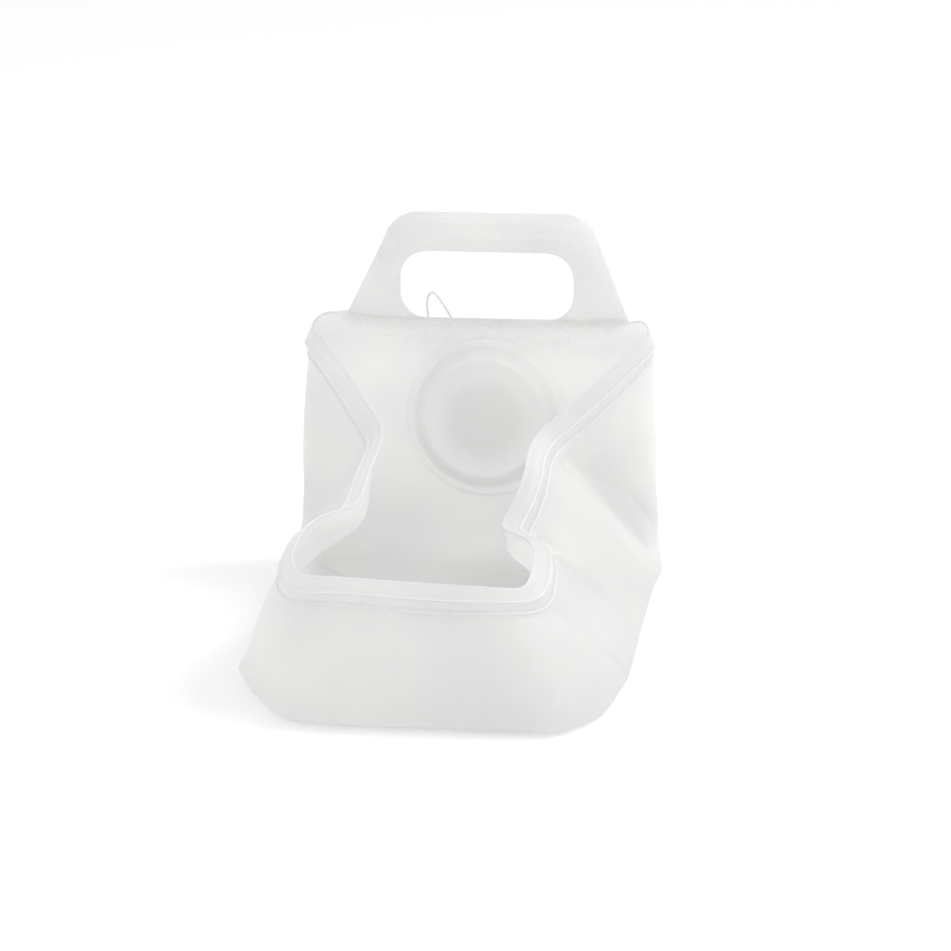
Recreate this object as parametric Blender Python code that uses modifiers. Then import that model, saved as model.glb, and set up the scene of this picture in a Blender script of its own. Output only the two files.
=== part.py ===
"""Collapsible water carrier, half folded, as an assembly of separate solids.

The body is a thin polyethylene jug in two half shells that meet at a stiff hoop.
Here the front half is pushed inside the rear half, so the jug stands open like an
armchair: it lies on the rear half's big face, its roof slope stands up as the back
and the carry handle rises from the top of the hoop.

Metres, +Z up, +X to the right, -Y towards the open front. The origin lies in the
middle of the flat face that the jug rests on.
"""

import math

import bmesh
import bpy
from mathutils import Matrix, Vector

# Driving dimensions of the body
body_width = 0.280          # across the big face
face_length = 0.318         # big face, from the back crease to the front edge
rim_height = 0.1855         # middle of the hoop's top bar above the floor
middle_line = 0.0035        # the handle and neck lie this far right of the middle
skin_wall = 0.0010          # thickness of each skin
skin_gap = 0.0060           # between the middles of the two nested skins
cup_wall = 0.0013           # thickness of the round cups let into the skins
cup_lip = 0.0020            # how far a cup's lip laps over its skin
edge_rise = 0.0080          # height of the widest line round the big face
edge_inset = 0.0090         # how far the flat face lies inside that line
flat_margin = 0.0040        # outermost strip of the flat face
seat = 0.0003               # gap kept between touching pieces
weld_distance = 0.00001

# Hoop and its moulded band
bead_radius = 0.0036
band_groove_at = 0.0085
band_groove_depth = 0.0012
band_ridge_at = 0.0130
band_ridge_height = 0.0016
band_end_at = 0.0190

# Round recess for the neck, with the matching boss on the inner skin
boss_radius = 0.0560
boss_height = 0.0130
boss_shoulder = 0.0110
boss_dish = 0.0030
recess_radius = 0.0510
recess_depth = 0.0120
recess_shoulder = 0.0060
neck_height = 0.1165        # centre of the neck above the floor, up the back wall

# Carry handle
grip_stretch_share = 1.21   # depth of the hollow grip as a share of its height
leg_foot_width = 0.04375     # each leg beside the slot, at the handle's foot
leg_top_width = 0.00625      # the same where its side would meet the top edge
handle_sway = 0.0040        # the slack handle's top leans this far right
handle_corner = 0.0250
slot_width = 0.1325
slot_height = 0.0518
slot_corner = 0.0200
slot_above_foot = 0.0020
slot_to_top = 0.0302        # from the slot's upper edge to the handle's top edge
web_thickness = 0.0060
web_edge = 0.0010
grip_height = 0.0190
grip_drop = 0.0105          # middle of the hollow grip below the handle's top edge
handle_lean = math.radians(5.0)
# The hollow grip's start down each leg: height as a share of the handle's height,
# and width as a share of the grip's full width
grip_leg_shares = ((0.42, 0.12), (0.55, 0.50), (0.70, 0.85), (0.82, 1.00))
grip_knee_share = 0.60
grip_corner_share = 0.75
handle_height = slot_above_foot + slot_height + slot_to_top
handle_foot_width = slot_width + leg_foot_width * 2
handle_top_width = slot_width + leg_top_width * 2

# Neck
neck_outer = 0.0260         # radius of the neck's plain wall
neck_bore = 0.0220
neck_flange = 0.0320
neck_flange_thick = 0.0025
neck_bead = 0.0272          # radius of the bead that holds the tether's ring
neck_bead_thick = 0.0014

# Screw cap and its gasket
cap_clearance = 0.0020      # room for the thread between neck and cap
cap_wall = 0.0022
cap_skirt = 0.0170          # from the skirt's lower edge to the cap's inner face
cap_top = 0.0028
cap_ribs = 44
cap_rib_depth = 0.0011
cap_hub = 0.0200            # radius of the raised hub under the spigot
cap_hub_height = 0.0034
cap_hub_lip = 0.0006
gasket_thick = 0.0016
gasket_inner = 0.0205

# Spigot with its washer and nut
shank_radius = 0.0075
shank_below_nut = 0.0020
collar_radius = 0.0150
collar_thick = 0.0028
washer_thick = 0.0012
nut_radius = 0.0130
nut_thick = 0.0050
nut_sides = 6
barrel_radius = 0.0095
barrel_bore = 0.0050
barrel_reach = 0.0330       # from the collar to the middle of the tap
tower_radius = 0.0115
tower_up = 0.0125
tower_down = 0.0130
nozzle_radius = 0.0080
nozzle_bore = 0.0055
nozzle_length = 0.0260

# Tap plug, lever and seals
plug_radius = 0.0070
plug_clearance = 0.0004
plug_port = 0.0042
plug_floor = 0.0100         # below the barrel's middle
plug_stem = 0.0060          # side of the square stem
stem_height = 0.0050
oring_wire = 0.0010
oring_groove = 0.0013
oring_depth = 0.0012
upper_groove = 0.0085       # middle of each groove above and below the barrel's middle
lower_groove = 0.0072
lever_hub = 0.0090
lever_length = 0.0298
lever_width = 0.0085
lever_thick = 0.0044
lever_end_share = 0.90      # corner radius of the lever's end, as a share of its half width

# Tether that ties the cap to the neck
tether_wire = 0.0019
tether_ring_thick = 0.0020
tether_ring_wall = 0.0026
# The strap's route from the neck's ring, up behind the handle and down to the cap's
# ring: across, up the wall and out from it, from the middle of the neck's ring
tether_route = (
    (0.0220, 0.0205, -0.0005), (0.0262, 0.0263, 0.0053), (0.0335, 0.0352, 0.0138),
    (0.0410, 0.0504, 0.0183), (0.0472, 0.0718, 0.0198), (0.0482, 0.0865, 0.0203),
    (0.0445, 0.0923, 0.0208), (0.0390, 0.0870, 0.0213), (0.0302, 0.0727, 0.0228),
    (0.0225, 0.0522, 0.0258), (0.0180, 0.0361, 0.0273), (0.0150, 0.0250, 0.0268),
    (0.0138, 0.0196, 0.0257),
)

# Fineness of the round and lofted forms
samples_per_span = 2
corner_easing = 14
round_steps = 24
corner_steps = 6
ring_sides = 6
route_parts = 3
overrun = 0.0100            # how far cutters run past what they cut

BODY_NAME = "collapsible_water_carrier"
half_width = body_width / 2
half_length = face_length / 2

# One row for each key station round the hoop, from the middle of the top bar
# by the left side, the front and the right side. The hoop's place is in shares of
# half the width, half the length and the rim's height; the foot of the same wall
# line on the big face is in shares of half the width and half the length. The
# last two are the wall's bulge and the corner's lift, in shares of the edge's rise.
station_shares = (
    (-0.01, 1.126, 1.000, -0.01, 0.990, 0.0, 0.0),
    (-0.23, 1.126, 1.000, -0.22, 0.990, 0.0, 0.0),
    (-0.45, 1.126, 1.000, -0.44, 0.990, 0.0, 0.0),
    (-0.675, 1.126, 1.012, -0.66, 0.990, 0.0, 0.0),
    (-0.800, 1.121, 1.036, -0.80, 0.988, 0.0, 0.0),
    (-0.893, 1.110, 1.022, -0.895, 0.983, 0.3, 0.0),
    (-0.940, 1.085, 0.976, -0.950, 0.975, 0.6, 0.0),
    (-0.882, 1.038, 0.936, -0.992, 0.958, 0.5, 0.0),
    (-0.734, 0.912, 0.844, -1.018, 0.935, 0.2, 0.0),
    (-0.604, 0.792, 0.752, -1.034, 0.905, 0.0, 0.0),
    (-0.538, 0.730, 0.707, -1.031, 0.877, 0.0, 0.0),
    (-0.501, 0.673, 0.682, -1.025, 0.845, 0.1, 0.0),
    (-0.483, 0.597, 0.657, -1.017, 0.800, 0.3, 0.0),
    (-0.489, 0.484, 0.627, -1.008, 0.695, 0.4, 0.0),
    (-0.509, 0.358, 0.584, -1.003, 0.560, 0.4, 0.0),
    (-0.527, 0.220, 0.525, -0.999, 0.400, 0.4, 0.0),
    (-0.550, 0.119, 0.515, -0.997, 0.260, 0.4, 0.0),
    (-0.603, -0.006, 0.528, -0.994, 0.090, 0.4, 0.0),
    (-0.665, -0.157, 0.545, -0.990, -0.080, 0.4, 0.0),
    (-0.708, -0.321, 0.548, -0.985, -0.260, 0.4, 0.0),
    (-0.721, -0.472, 0.532, -0.980, -0.420, 0.3, 0.0),
    (-0.723, -0.560, 0.509, -0.972, -0.540, 0.1, 0.1),
    (-0.682, -0.642, 0.481, -0.949, -0.616, 0.0, 0.6),
    (-0.605, -0.673, 0.474, -0.846, -0.774, 0.5, 0.1),
    (-0.417, -0.686, 0.476, -0.675, -0.962, 0.8, 0.0),
    (-0.250, -0.692, 0.473, -0.440, -1.000, 0.9, 0.0),
    (-0.091, -0.698, 0.470, -0.170, -0.998, 0.9, 0.0),
    (0.035, -0.698, 0.467, 0.070, -0.995, 0.9, 0.0),
    (0.156, -0.698, 0.465, 0.290, -0.993, 0.9, 0.0),
    (0.255, -0.692, 0.462, 0.500, -0.988, 0.8, 0.0),
    (0.351, -0.686, 0.459, 0.700, -0.955, 0.7, 0.0),
    (0.450, -0.654, 0.451, 0.862, -0.772, 0.4, 0.1),
    (0.496, -0.591, 0.463, 0.914, -0.588, 0.0, 0.6),
    (0.505, -0.472, 0.491, 0.944, -0.400, 0.2, 0.1),
    (0.480, -0.283, 0.492, 0.953, -0.220, 0.3, 0.0),
    (0.420, -0.094, 0.469, 0.957, -0.050, 0.3, 0.0),
    (0.337, 0.057, 0.442, 0.960, 0.100, 0.3, 0.0),
    (0.271, 0.157, 0.429, 0.963, 0.220, 0.3, 0.0),
    (0.260, 0.233, 0.438, 0.966, 0.330, 0.3, 0.0),
    (0.305, 0.333, 0.499, 0.969, 0.460, 0.3, 0.0),
    (0.336, 0.459, 0.567, 0.973, 0.620, 0.3, 0.0),
    (0.345, 0.597, 0.626, 0.981, 0.760, 0.2, 0.0),
    (0.394, 0.711, 0.670, 0.993, 0.865, -0.1, 0.0),
    (0.482, 0.786, 0.715, 0.999, 0.905, -0.1, 0.0),
    (0.617, 0.874, 0.795, 0.998, 0.932, 0.6, 0.0),
    (0.784, 0.981, 0.896, 0.990, 0.956, 0.9, 0.0),
    (0.864, 1.038, 0.946, 0.970, 0.973, 0.8, 0.0),
    (0.919, 1.088, 0.989, 0.930, 0.984, 0.4, 0.0),
    (0.879, 1.110, 1.028, 0.872, 0.989, 0.0, 0.0),
    (0.796, 1.119, 1.023, 0.790, 0.989, 0.0, 0.0),
    (0.644, 1.126, 1.009, 0.630, 0.990, 0.0, 0.0),
    (0.426, 1.126, 1.003, 0.415, 0.990, 0.0, 0.0),
    (0.207, 1.126, 1.001, 0.200, 0.990, 0.0, 0.0),
)

# Places down a wall line, from the end of the band to the widest line
wall_shares = (0.30, 0.66, 1.0)


def start_scene():
    """Empty the file and make the collections for the parts and the cutters."""
    for item in list(bpy.data.objects):
        bpy.data.objects.remove(item, do_unlink=True)
    made = []
    for name in (BODY_NAME, "cutters"):
        group = bpy.data.collections.get(name) or bpy.data.collections.new(name)
        if name not in bpy.context.scene.collection.children:
            bpy.context.scene.collection.children.link(group)
        made.append(group)
    return made


def make_material(name, colour, roughness, metallic=0.0):
    material = bpy.data.materials.new(name)
    material.use_nodes = True
    shader = material.node_tree.nodes["Principled BSDF"]
    shader.inputs["Base Color"].default_value = (*colour, 1.0)
    shader.inputs["Roughness"].default_value = roughness
    shader.inputs["Metallic"].default_value = metallic
    return material


def place(obj, material, group):
    """Give an object its own material and put it in one collection only."""
    obj.data.materials.clear()
    obj.data.materials.append(material)
    for other in list(obj.users_collection):
        other.objects.unlink(obj)
    group.objects.link(obj)
    return obj


def make_cutter(obj, group):
    for other in list(obj.users_collection):
        other.objects.unlink(obj)
    group.objects.link(obj)
    obj.hide_render = True
    obj.display_type = "WIRE"
    return obj


def mesh_object(name, build):
    """Make an object from a bmesh that the given function fills."""
    mesh = bpy.data.meshes.new(name)
    form = bmesh.new()
    build(form)
    form.normal_update()
    form.to_mesh(mesh)
    form.free()
    obj = bpy.data.objects.new(name, mesh)
    bpy.context.scene.collection.objects.link(obj)
    return obj


def shade(obj, angle=math.radians(40)):
    obj.data.shade_smooth()
    obj.data.set_sharp_from_angle(angle=angle)


def apply_modifiers(obj):
    """Replace an object's mesh by its evaluated mesh."""
    graph = bpy.context.evaluated_depsgraph_get()
    mesh = bpy.data.meshes.new_from_object(obj.evaluated_get(graph), depsgraph=graph)
    obj.modifiers.clear()
    obj.data = mesh
    return obj


def boolean(obj, other, operation):
    step = obj.modifiers.new(operation.lower(), "BOOLEAN")
    step.operation = operation
    step.object = other
    step.solver = "EXACT"
    return step


def turned(name, profile, steps=round_steps):
    """A turned piece about Z: the profile's (radius, height) points run down."""
    def build(form):
        points = [form.verts.new((radius, 0, height)) for radius, height in profile]
        for first, second in zip(points, points[1:]):
            form.edges.new((first, second))
    obj = mesh_object(name, build)
    screw = obj.modifiers.new("turn", "SCREW")
    screw.axis = "Z"
    screw.steps = steps
    screw.render_steps = steps
    screw.use_merge_vertices = True
    screw.merge_threshold = weld_distance
    return obj


def closed_profile(points):
    return list(points) + [points[0]]


def cylinder(name, radius, low, high, steps=round_steps):
    """A closed cylinder about Z between two heights."""
    def build(form):
        bmesh.ops.create_cone(form, cap_ends=True, segments=steps, radius1=radius,
                              radius2=radius, depth=high - low,
                              matrix=Matrix.Translation((0, 0, (low + high) / 2)))
    return mesh_object(name, build)


def catmull(values, share):
    """Smooth value between the second and third of four vectors."""
    a, b, c, d = values
    return [0.5 * (2 * q + (r - p) * share + (2 * p - 5 * q + 4 * r - s) * share ** 2
                   + (3 * q - p - 3 * r + s) * share ** 3)
            for p, q, r, s in zip(a, b, c, d)]


def stations():
    """All stations round the hoop, in metres, with the key rows joined smoothly."""
    count = len(station_shares)
    rows = []
    for index in range(count):
        near = [station_shares[(index + step) % count] for step in (-1, 0, 1, 2)]
        for part in range(samples_per_span):
            rows.append(catmull(near, part / samples_per_span))
    made = []
    for x, y, z, foot_x, foot_y, bulge, lift in rows:
        rim = Vector((x * half_width, y * half_length, z * rim_height))
        foot = Vector((foot_x * half_width, foot_y * half_length,
                       edge_rise * (1 + lift)))
        made.append((rim, foot, bulge * edge_rise))
    return made


def wall_frames(rows):
    """The wall's direction down from the rim and its outward normal, per station."""
    frames = []
    count = len(rows)
    for index, (rim, foot, _) in enumerate(rows):
        along = rows[(index + 1) % count][0] - rows[index - 1][0]
        down = (foot - rim).normalized()
        outward = down.cross(along).normalized()
        frames.append((down, outward))
    return frames


def eased(frames, rounds):
    """Average the outward directions along the hoop, so that they shorten in tight
    corners and the inner skin doesn't fold through itself there."""
    count = len(frames)
    for _ in range(rounds):
        frames = [(down, (frames[index - 1][1] + out * 2
                          + frames[(index + 1) % count][1]) / 4)
                  for index, (down, out) in enumerate(frames)]
    return frames


def skin_feet(rows, frames, side):
    """The widest line of one skin round the big face. The inner skin's line is raised
    by the gap and drawn in as far as the wall's slope needs to keep the same gap."""
    count = len(rows)
    feet = []
    for index, (_, foot, _) in enumerate(rows):
        along = rows[(index + 1) % count][1] - rows[index - 1][1]
        outward = Vector((along.y, -along.x, 0)).normalized()
        point = foot + outward * skin_gap / 2
        if side < 0:
            down = frames[index][0]
            inset = skin_gap * (1 + down.dot(outward)) / -down.z
            point = point - outward * inset + Vector((0, 0, skin_gap))
        feet.append(point)
    return feet


def skin_points(side):
    """Rings of one skin from the rim to the big face; side is 1 outside, -1 inside."""
    rows = stations()
    walls = wall_frames(rows)
    frames = eased(walls, corner_easing) if side < 0 else walls
    feet = skin_feet(rows, walls, side)
    shift = side * skin_gap / 2
    floor = skin_wall / 2 + (skin_gap if side < 0 else 0)
    band = ((bead_radius + seat, 0), (band_groove_at, -band_groove_depth),
            (band_ridge_at, band_ridge_height), (band_end_at, 0))
    rings = []
    for distance, raise_by in band:
        rings.append([rim + down * distance + out * (shift + raise_by)
                      for (rim, _, _), (down, out) in zip(rows, frames)])
    for share in wall_shares:
        ring = []
        for start, foot, (_, _, bulge), (_, out) in zip(rings[3], feet, rows, walls):
            swell = math.sin(math.pi * share) * bulge
            ring.append(start.lerp(foot, share) + out * swell)
        rings.append(ring)
    edge = []
    for point in rings[-1]:
        flat = Vector((point.x, point.y, 0))
        inner = flat * (1 - edge_inset / flat.length)
        edge.append(Vector((inner.x, inner.y, floor)))
    rings.append(edge)
    flat_edge = []
    for point in edge:
        arm = Vector((point.x, point.y, 0))
        flat_edge.append(point - arm * (flat_margin / arm.length))
    rings.append(flat_edge)
    return rings


def skin_mesh(name, side):
    """One skin of the jug as a lofted open surface, closed by Solidify."""
    rings = skin_points(side)

    def build(form):
        levels = [[form.verts.new(point) for point in ring] for ring in rings]
        count = len(levels[0])
        for upper, lower in zip(levels, levels[1:]):
            for index in range(count):
                other = (index + 1) % count
                form.faces.new((upper[index], lower[index], lower[other], upper[other]))
        form.faces.new(levels[-1])
        bmesh.ops.recalc_face_normals(form, faces=form.faces)
    obj = mesh_object(name, build)
    wall = obj.modifiers.new("wall", "SOLIDIFY")
    wall.thickness = skin_wall
    wall.offset = 0
    wall.use_rim = True
    return obj


def wall_plane():
    """Frame of the back wall at the neck: origin on its middle, Z axis outward."""
    back_share = station_shares[0]
    top = Vector((middle_line, back_share[1] * half_length, rim_height))
    foot = Vector((middle_line, back_share[4] * half_length, edge_rise))
    up = (top - foot).normalized()
    outward = Vector((1, 0, 0)).cross(up) * -1
    centre = foot + up * (neck_height - edge_rise) / up.z
    basis = Matrix((Vector((-1, 0, 0)), up, outward)).transposed()
    return Matrix.Translation(centre) @ basis.to_4x4()


def cup_profile(radius, height, shoulder, dish, steps=4):
    """Half section of a round boss: from its foot over the shoulder to its middle."""
    points = [(radius, 0)]
    for index in range(steps + 1):
        turn = math.pi / 2 * index / steps
        points.append((radius - shoulder + shoulder * math.cos(turn),
                       height - shoulder + shoulder * math.sin(turn)))
    inner = (radius - shoulder) / 2
    points.append((inner, height - dish / 2))
    points.append((0, height - dish))
    return points


def rounded_outline(corners):
    """Points of a closed outline whose (point, radius) corners become arcs."""
    points = []
    count = len(corners)
    for index, (corner, radius) in enumerate(corners):
        here = Vector(corner)
        before = (Vector(corners[index - 1][0]) - here).normalized()
        after = (Vector(corners[(index + 1) % count][0]) - here).normalized()
        half = before.angle(after) / 2
        reach = radius / math.tan(half)
        middle = here + (before + after).normalized() * radius / math.sin(half)
        first = here + before * reach - middle
        last = here + after * reach - middle
        turn = first.angle_signed(last)
        for step in range(corner_steps + 1):
            arm = first.copy()
            arm.rotate(Matrix.Rotation(-turn * step / corner_steps, 2))
            points.append(middle + arm)
    return points


def flat_plate(name, outlines, thickness):
    """A flat plate in the XZ plane from closed 2D outlines, holes included."""
    curve = bpy.data.curves.new(name, "CURVE")
    curve.dimensions = "2D"
    curve.fill_mode = "BOTH"
    curve.extrude = thickness / 2
    for outline in outlines:
        spline = curve.splines.new("POLY")
        spline.points.add(len(outline) - 1)
        for point, place_at in zip(spline.points, outline):
            point.co = (place_at[0], place_at[1], 0, 1)
        spline.use_cyclic_u = True
    source = bpy.data.objects.new(name + "_outline", curve)
    bpy.context.scene.collection.objects.link(source)
    return meshed(source, name)


def meshed(source, name):
    """Turn a curve object into a closed mesh object at the same place."""
    graph = bpy.context.evaluated_depsgraph_get()
    mesh = bpy.data.meshes.new_from_object(source.evaluated_get(graph))
    obj = bpy.data.objects.new(name, mesh)
    obj.matrix_world = source.matrix_world.copy()
    form = bmesh.new()
    form.from_mesh(mesh)
    bmesh.ops.remove_doubles(form, verts=form.verts, dist=weld_distance)
    bmesh.ops.recalc_face_normals(form, faces=form.faces)
    form.to_mesh(mesh)
    form.free()
    bpy.context.scene.collection.objects.link(obj)
    bpy.data.objects.remove(source, do_unlink=True)
    return obj


def wire(name, route, depth, fineness=2, radii=None, closed=False):
    """A round wire along a smooth route, as a poly curve with filled caps."""
    curve = bpy.data.curves.new(name, "CURVE")
    curve.dimensions = "3D"
    curve.bevel_depth = depth / 2
    curve.bevel_resolution = fineness
    curve.use_fill_caps = not closed
    spline = curve.splines.new("POLY")
    spline.points.add(len(route) - 1)
    for index, (point, place_at) in enumerate(zip(spline.points, route)):
        point.co = (*place_at, 1)
        point.radius = radii[index] if radii else 1
    spline.use_cyclic_u = closed
    source = bpy.data.objects.new(name + "_route", curve)
    bpy.context.scene.collection.objects.link(source)
    return meshed(source, name)


def smooth_route(points, parts):
    """An open smooth route through the given points."""
    rows = [points[0]] + list(points) + [points[-1]]
    route = []
    for index in range(len(points) - 1):
        near = [tuple(row) for row in rows[index:index + 4]]
        for part in range(parts):
            route.append(Vector(catmull(near, part / parts)))
    route.append(Vector(points[-1]))
    return route


def build_skins(parts, cutters, materials):
    """Both skins, each with its round cup let into the back wall."""
    plane = wall_plane()
    rims = [rim for rim, foot, bulge in stations()]
    groove = wire("bead_groove", rims, (bead_radius + seat) * 2, closed=True)
    make_cutter(groove, cutters)
    for name, side, radius, height, shoulder, dish in (
            ("rear_half_shell", 1, recess_radius, recess_depth, recess_shoulder, 0),
            ("front_half_shell", -1, boss_radius, boss_height, boss_shoulder, boss_dish)):
        skin = skin_mesh(name, side)
        place(skin, materials["film"], parts)
        lift = side * skin_gap / 2
        hole = cylinder(name + "_hole", radius - skin_wall, -boss_height, boss_height)
        hole.matrix_world = plane @ Matrix.Translation((0, 0, lift))
        make_cutter(hole, cutters)
        lip = radius + cup_lip
        profile = [(lip, 0)] + cup_profile(radius, height, shoulder, dish)
        cup = turned(name + "_cup", profile)
        at = plane @ Matrix.Translation((0, 0, lift))
        cup.matrix_world = at @ Matrix.Rotation(math.pi, 4, "X")
        wall = cup.modifiers.new("wall", "SOLIDIFY")
        wall.thickness = cup_wall
        wall.offset = 0
        make_cutter(cup, cutters)
        boolean(skin, hole, "DIFFERENCE")
        boolean(skin, cup, "UNION")
        boolean(skin, groove, "DIFFERENCE")
        if side > 0:
            mouth = cylinder("neck_mouth", neck_bore, -2 * boss_height, boss_height)
            mouth.matrix_world = plane
            make_cutter(mouth, cutters)
            boolean(skin, mouth, "DIFFERENCE")
        shade(skin)
    return plane


def build_hoop(parts, materials):
    """The stiff bead where the two half shells meet, as one closed loop."""
    rows = stations()
    route = [rim for rim, foot, bulge in rows]
    hoop = wire("fold_hoop", route, bead_radius * 2, fineness=1, closed=True)
    shade(hoop)
    return place(hoop, materials["hoop"], parts)


def handle_side(side, height):
    """Where the handle's left (-1) or right (1) side edge lies at a height."""
    share = height / handle_height
    half_width_here = (handle_foot_width * (1 - share) + handle_top_width * share) / 2
    return side * half_width_here + handle_sway * share


def handle_web():
    """The handle's flat web with its hand slot, standing on the XZ plane's X axis."""
    top = handle_height
    outer = rounded_outline((((handle_side(-1, 0), 0), web_edge),
                             ((handle_side(-1, top), top), handle_corner),
                             ((handle_side(1, top), top), handle_corner),
                             ((handle_side(1, 0), 0), web_edge)))
    low = slot_above_foot
    high = low + slot_height
    half_slot = slot_width / 2
    slot = rounded_outline((((-half_slot, low), slot_corner),
                            ((-half_slot, high), slot_corner),
                            ((half_slot, high), slot_corner),
                            ((half_slot, low), slot_corner)))
    web = flat_plate("handle", (outer, slot), web_thickness)
    soften = web.modifiers.new("edges", "BEVEL")
    soften.width = web_edge
    soften.segments = 1
    soften.limit_method = "ANGLE"
    return apply_modifiers(web)


def handle_grip():
    """The hollow grip's outside: a tube along the top that runs out down the legs."""
    grip_z = handle_height - grip_drop
    inward = grip_drop * grip_knee_share + handle_corner * grip_corner_share
    legs = []
    for side in (-1, 1):
        leg = []
        for height_share, width_share in grip_leg_shares:
            height = height_share * handle_height
            leg.append((handle_side(side, height) - side * grip_drop, height, 0))
        leg.append((handle_side(side, handle_height) - side * inward, grip_z, 0))
        legs.append(leg)
    route = legs[0] + [(handle_sway, grip_z, 0)] + list(reversed(legs[1]))
    leg_sizes = [width_share for height_share, width_share in grip_leg_shares]
    sizes = leg_sizes + [1, 1, 1] + list(reversed(leg_sizes))
    near = smooth_route([(size, 0, 0) for size in sizes], route_parts)
    spread = [point.x for point in near]
    grip = wire("handle_grip", smooth_route(route, route_parts), grip_height,
                fineness=3, radii=spread)
    for vertex in grip.data.vertices:
        vertex.co.z *= grip_stretch_share
    return grip


def build_handle(parts, cutters, materials):
    """The carry handle: a flat web with a hand slot and a hollow grip along the top."""
    web = handle_web()
    grip = handle_grip()
    make_cutter(grip, cutters)
    boolean(web, grip, "UNION")
    boolean(web, bpy.data.objects["bead_groove"], "DIFFERENCE")
    foot_z = rim_height + bead_radius + seat
    foot_y = station_shares[0][1] * half_length
    stand = Matrix.Translation((middle_line, foot_y, foot_z))
    lean = Matrix.Rotation(math.pi / 2 - handle_lean, 4, "X")
    web.matrix_world = stand @ lean
    grip.matrix_world = stand @ lean
    shade(web)
    return place(web, materials["handle"], parts)


def outline_prism(name, outline, low, high):
    """A prism about Z from a closed outline of (x, y) points."""
    def build(form):
        base = [form.verts.new((x, y, low)) for x, y in outline]
        face = form.faces.new(base)
        made = bmesh.ops.extrude_face_region(form, geom=[face])
        tops = [item for item in made["geom"] if isinstance(item, bmesh.types.BMVert)]
        bmesh.ops.translate(form, verts=tops, vec=(0, 0, high - low))
        bmesh.ops.recalc_face_normals(form, faces=form.faces)
    return mesh_object(name, build)


def polygon(radius, sides):
    """Corners of a regular polygon."""
    turns = [2 * math.pi * index / sides for index in range(sides)]
    return [(radius * math.cos(turn), radius * math.sin(turn)) for turn in turns]


def ring(name, inner, outer, low, high, steps=round_steps):
    """A flat ring about Z with square edges."""
    profile = [(outer, high), (outer, low), (inner, low), (inner, high)]
    return turned(name, closed_profile(profile), steps)


def torus(name, radius, wire_radius, height, steps=round_steps):
    """A round ring about Z whose section is a regular polygon."""
    profile = []
    for index in range(ring_sides):
        turn = -2 * math.pi * index / ring_sides
        profile.append((radius + wire_radius * math.cos(turn),
                        height + wire_radius * math.sin(turn)))
    return turned(name, closed_profile(profile), steps)


def joined(base, others, cutters, operation="UNION"):
    """Join or cut a piece by others, which become cutters."""
    for other in others:
        make_cutter(other, cutters)
        boolean(base, other, operation)
    return base


def neck_levels():
    """Heights along the neck's axis, from the recess floor to the cap's outside."""
    floor = skin_gap / 2 - recess_depth + cup_wall / 2
    flange_low = floor + seat
    flange_high = flange_low + neck_flange_thick
    ring_low = flange_high + seat
    ring_high = ring_low + tether_ring_thick
    bead_low = ring_high + seat
    bead_high = bead_low + neck_bead_thick
    skirt_low = bead_high + seat
    inner_top = skirt_low + cap_skirt
    outer_top = inner_top + cap_top
    return {
        "flange_low": flange_low, "flange_high": flange_high,
        "ring_low": ring_low, "ring_high": ring_high,
        "bead_low": bead_low, "bead_high": bead_high,
        "skirt_low": skirt_low, "inner_top": inner_top, "outer_top": outer_top,
        "neck_top": inner_top - gasket_thick - 2 * seat,
        "hub_top": outer_top + cap_hub_height,
    }


def build_neck(parts, plane, levels, materials):
    """The bottle neck: flange, locking bead and plain wall round an open bore."""
    profile = [
        (neck_outer, levels["neck_top"]),
        (neck_outer, levels["bead_high"]),
        (neck_bead, levels["bead_high"]),
        (neck_bead, levels["bead_low"]),
        (neck_outer, levels["bead_low"]),
        (neck_outer, levels["flange_high"]),
        (neck_flange, levels["flange_high"]),
        (neck_flange, levels["flange_low"]),
        (neck_bore, levels["flange_low"]),
        (neck_bore, levels["neck_top"]),
    ]
    neck = turned("neck_finish", closed_profile(profile))
    neck.matrix_world = plane
    place(neck, materials["neck"], parts)
    shade(neck)


def build_cap(parts, cutters, plane, levels, materials):
    """Ribbed screw cap with a raised hub that holds the tether's ring, and gasket."""
    skirt_inner = neck_outer + cap_clearance
    rib_low = skirt_inner + cap_wall
    rib_high = rib_low + cap_rib_depth
    outline = []
    for index in range(cap_ribs * 2):
        turn = math.pi * index / cap_ribs
        radius = rib_high if index % 2 else rib_low
        outline.append((radius * math.cos(turn), radius * math.sin(turn)))
    cap = outline_prism("screw_cap", outline, levels["skirt_low"], levels["outer_top"])
    hollow = cylinder("cap_hollow", skirt_inner, levels["skirt_low"] - overrun,
                      levels["inner_top"])
    middle = levels["hub_top"] - cap_hub_lip
    hub_profile = [
        (0, levels["hub_top"]),
        (cap_hub + cap_hub_lip, levels["hub_top"]),
        (cap_hub + cap_hub_lip, middle),
        (cap_hub, middle - cap_hub_lip),
        (cap_hub, levels["outer_top"] - cap_top / 2),
        (0, levels["outer_top"] - cap_top / 2),
    ]
    hub = turned("cap_hub", hub_profile)
    hole = cylinder("cap_hole", shank_radius + seat, levels["inner_top"] - overrun,
                    levels["hub_top"] + overrun)
    joined(cap, [hub], cutters)
    joined(cap, [hollow, hole], cutters, "DIFFERENCE")
    gasket = ring("cap_gasket", gasket_inner, neck_outer,
                  levels["inner_top"] - seat - gasket_thick, levels["inner_top"] - seat)
    for piece in (cap, hub, hollow, hole):
        piece.matrix_world = plane
    gasket.matrix_world = plane
    place(cap, materials["cap"], parts)
    place(gasket, materials["seal"], parts)
    shade(cap)
    shade(gasket)


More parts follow.
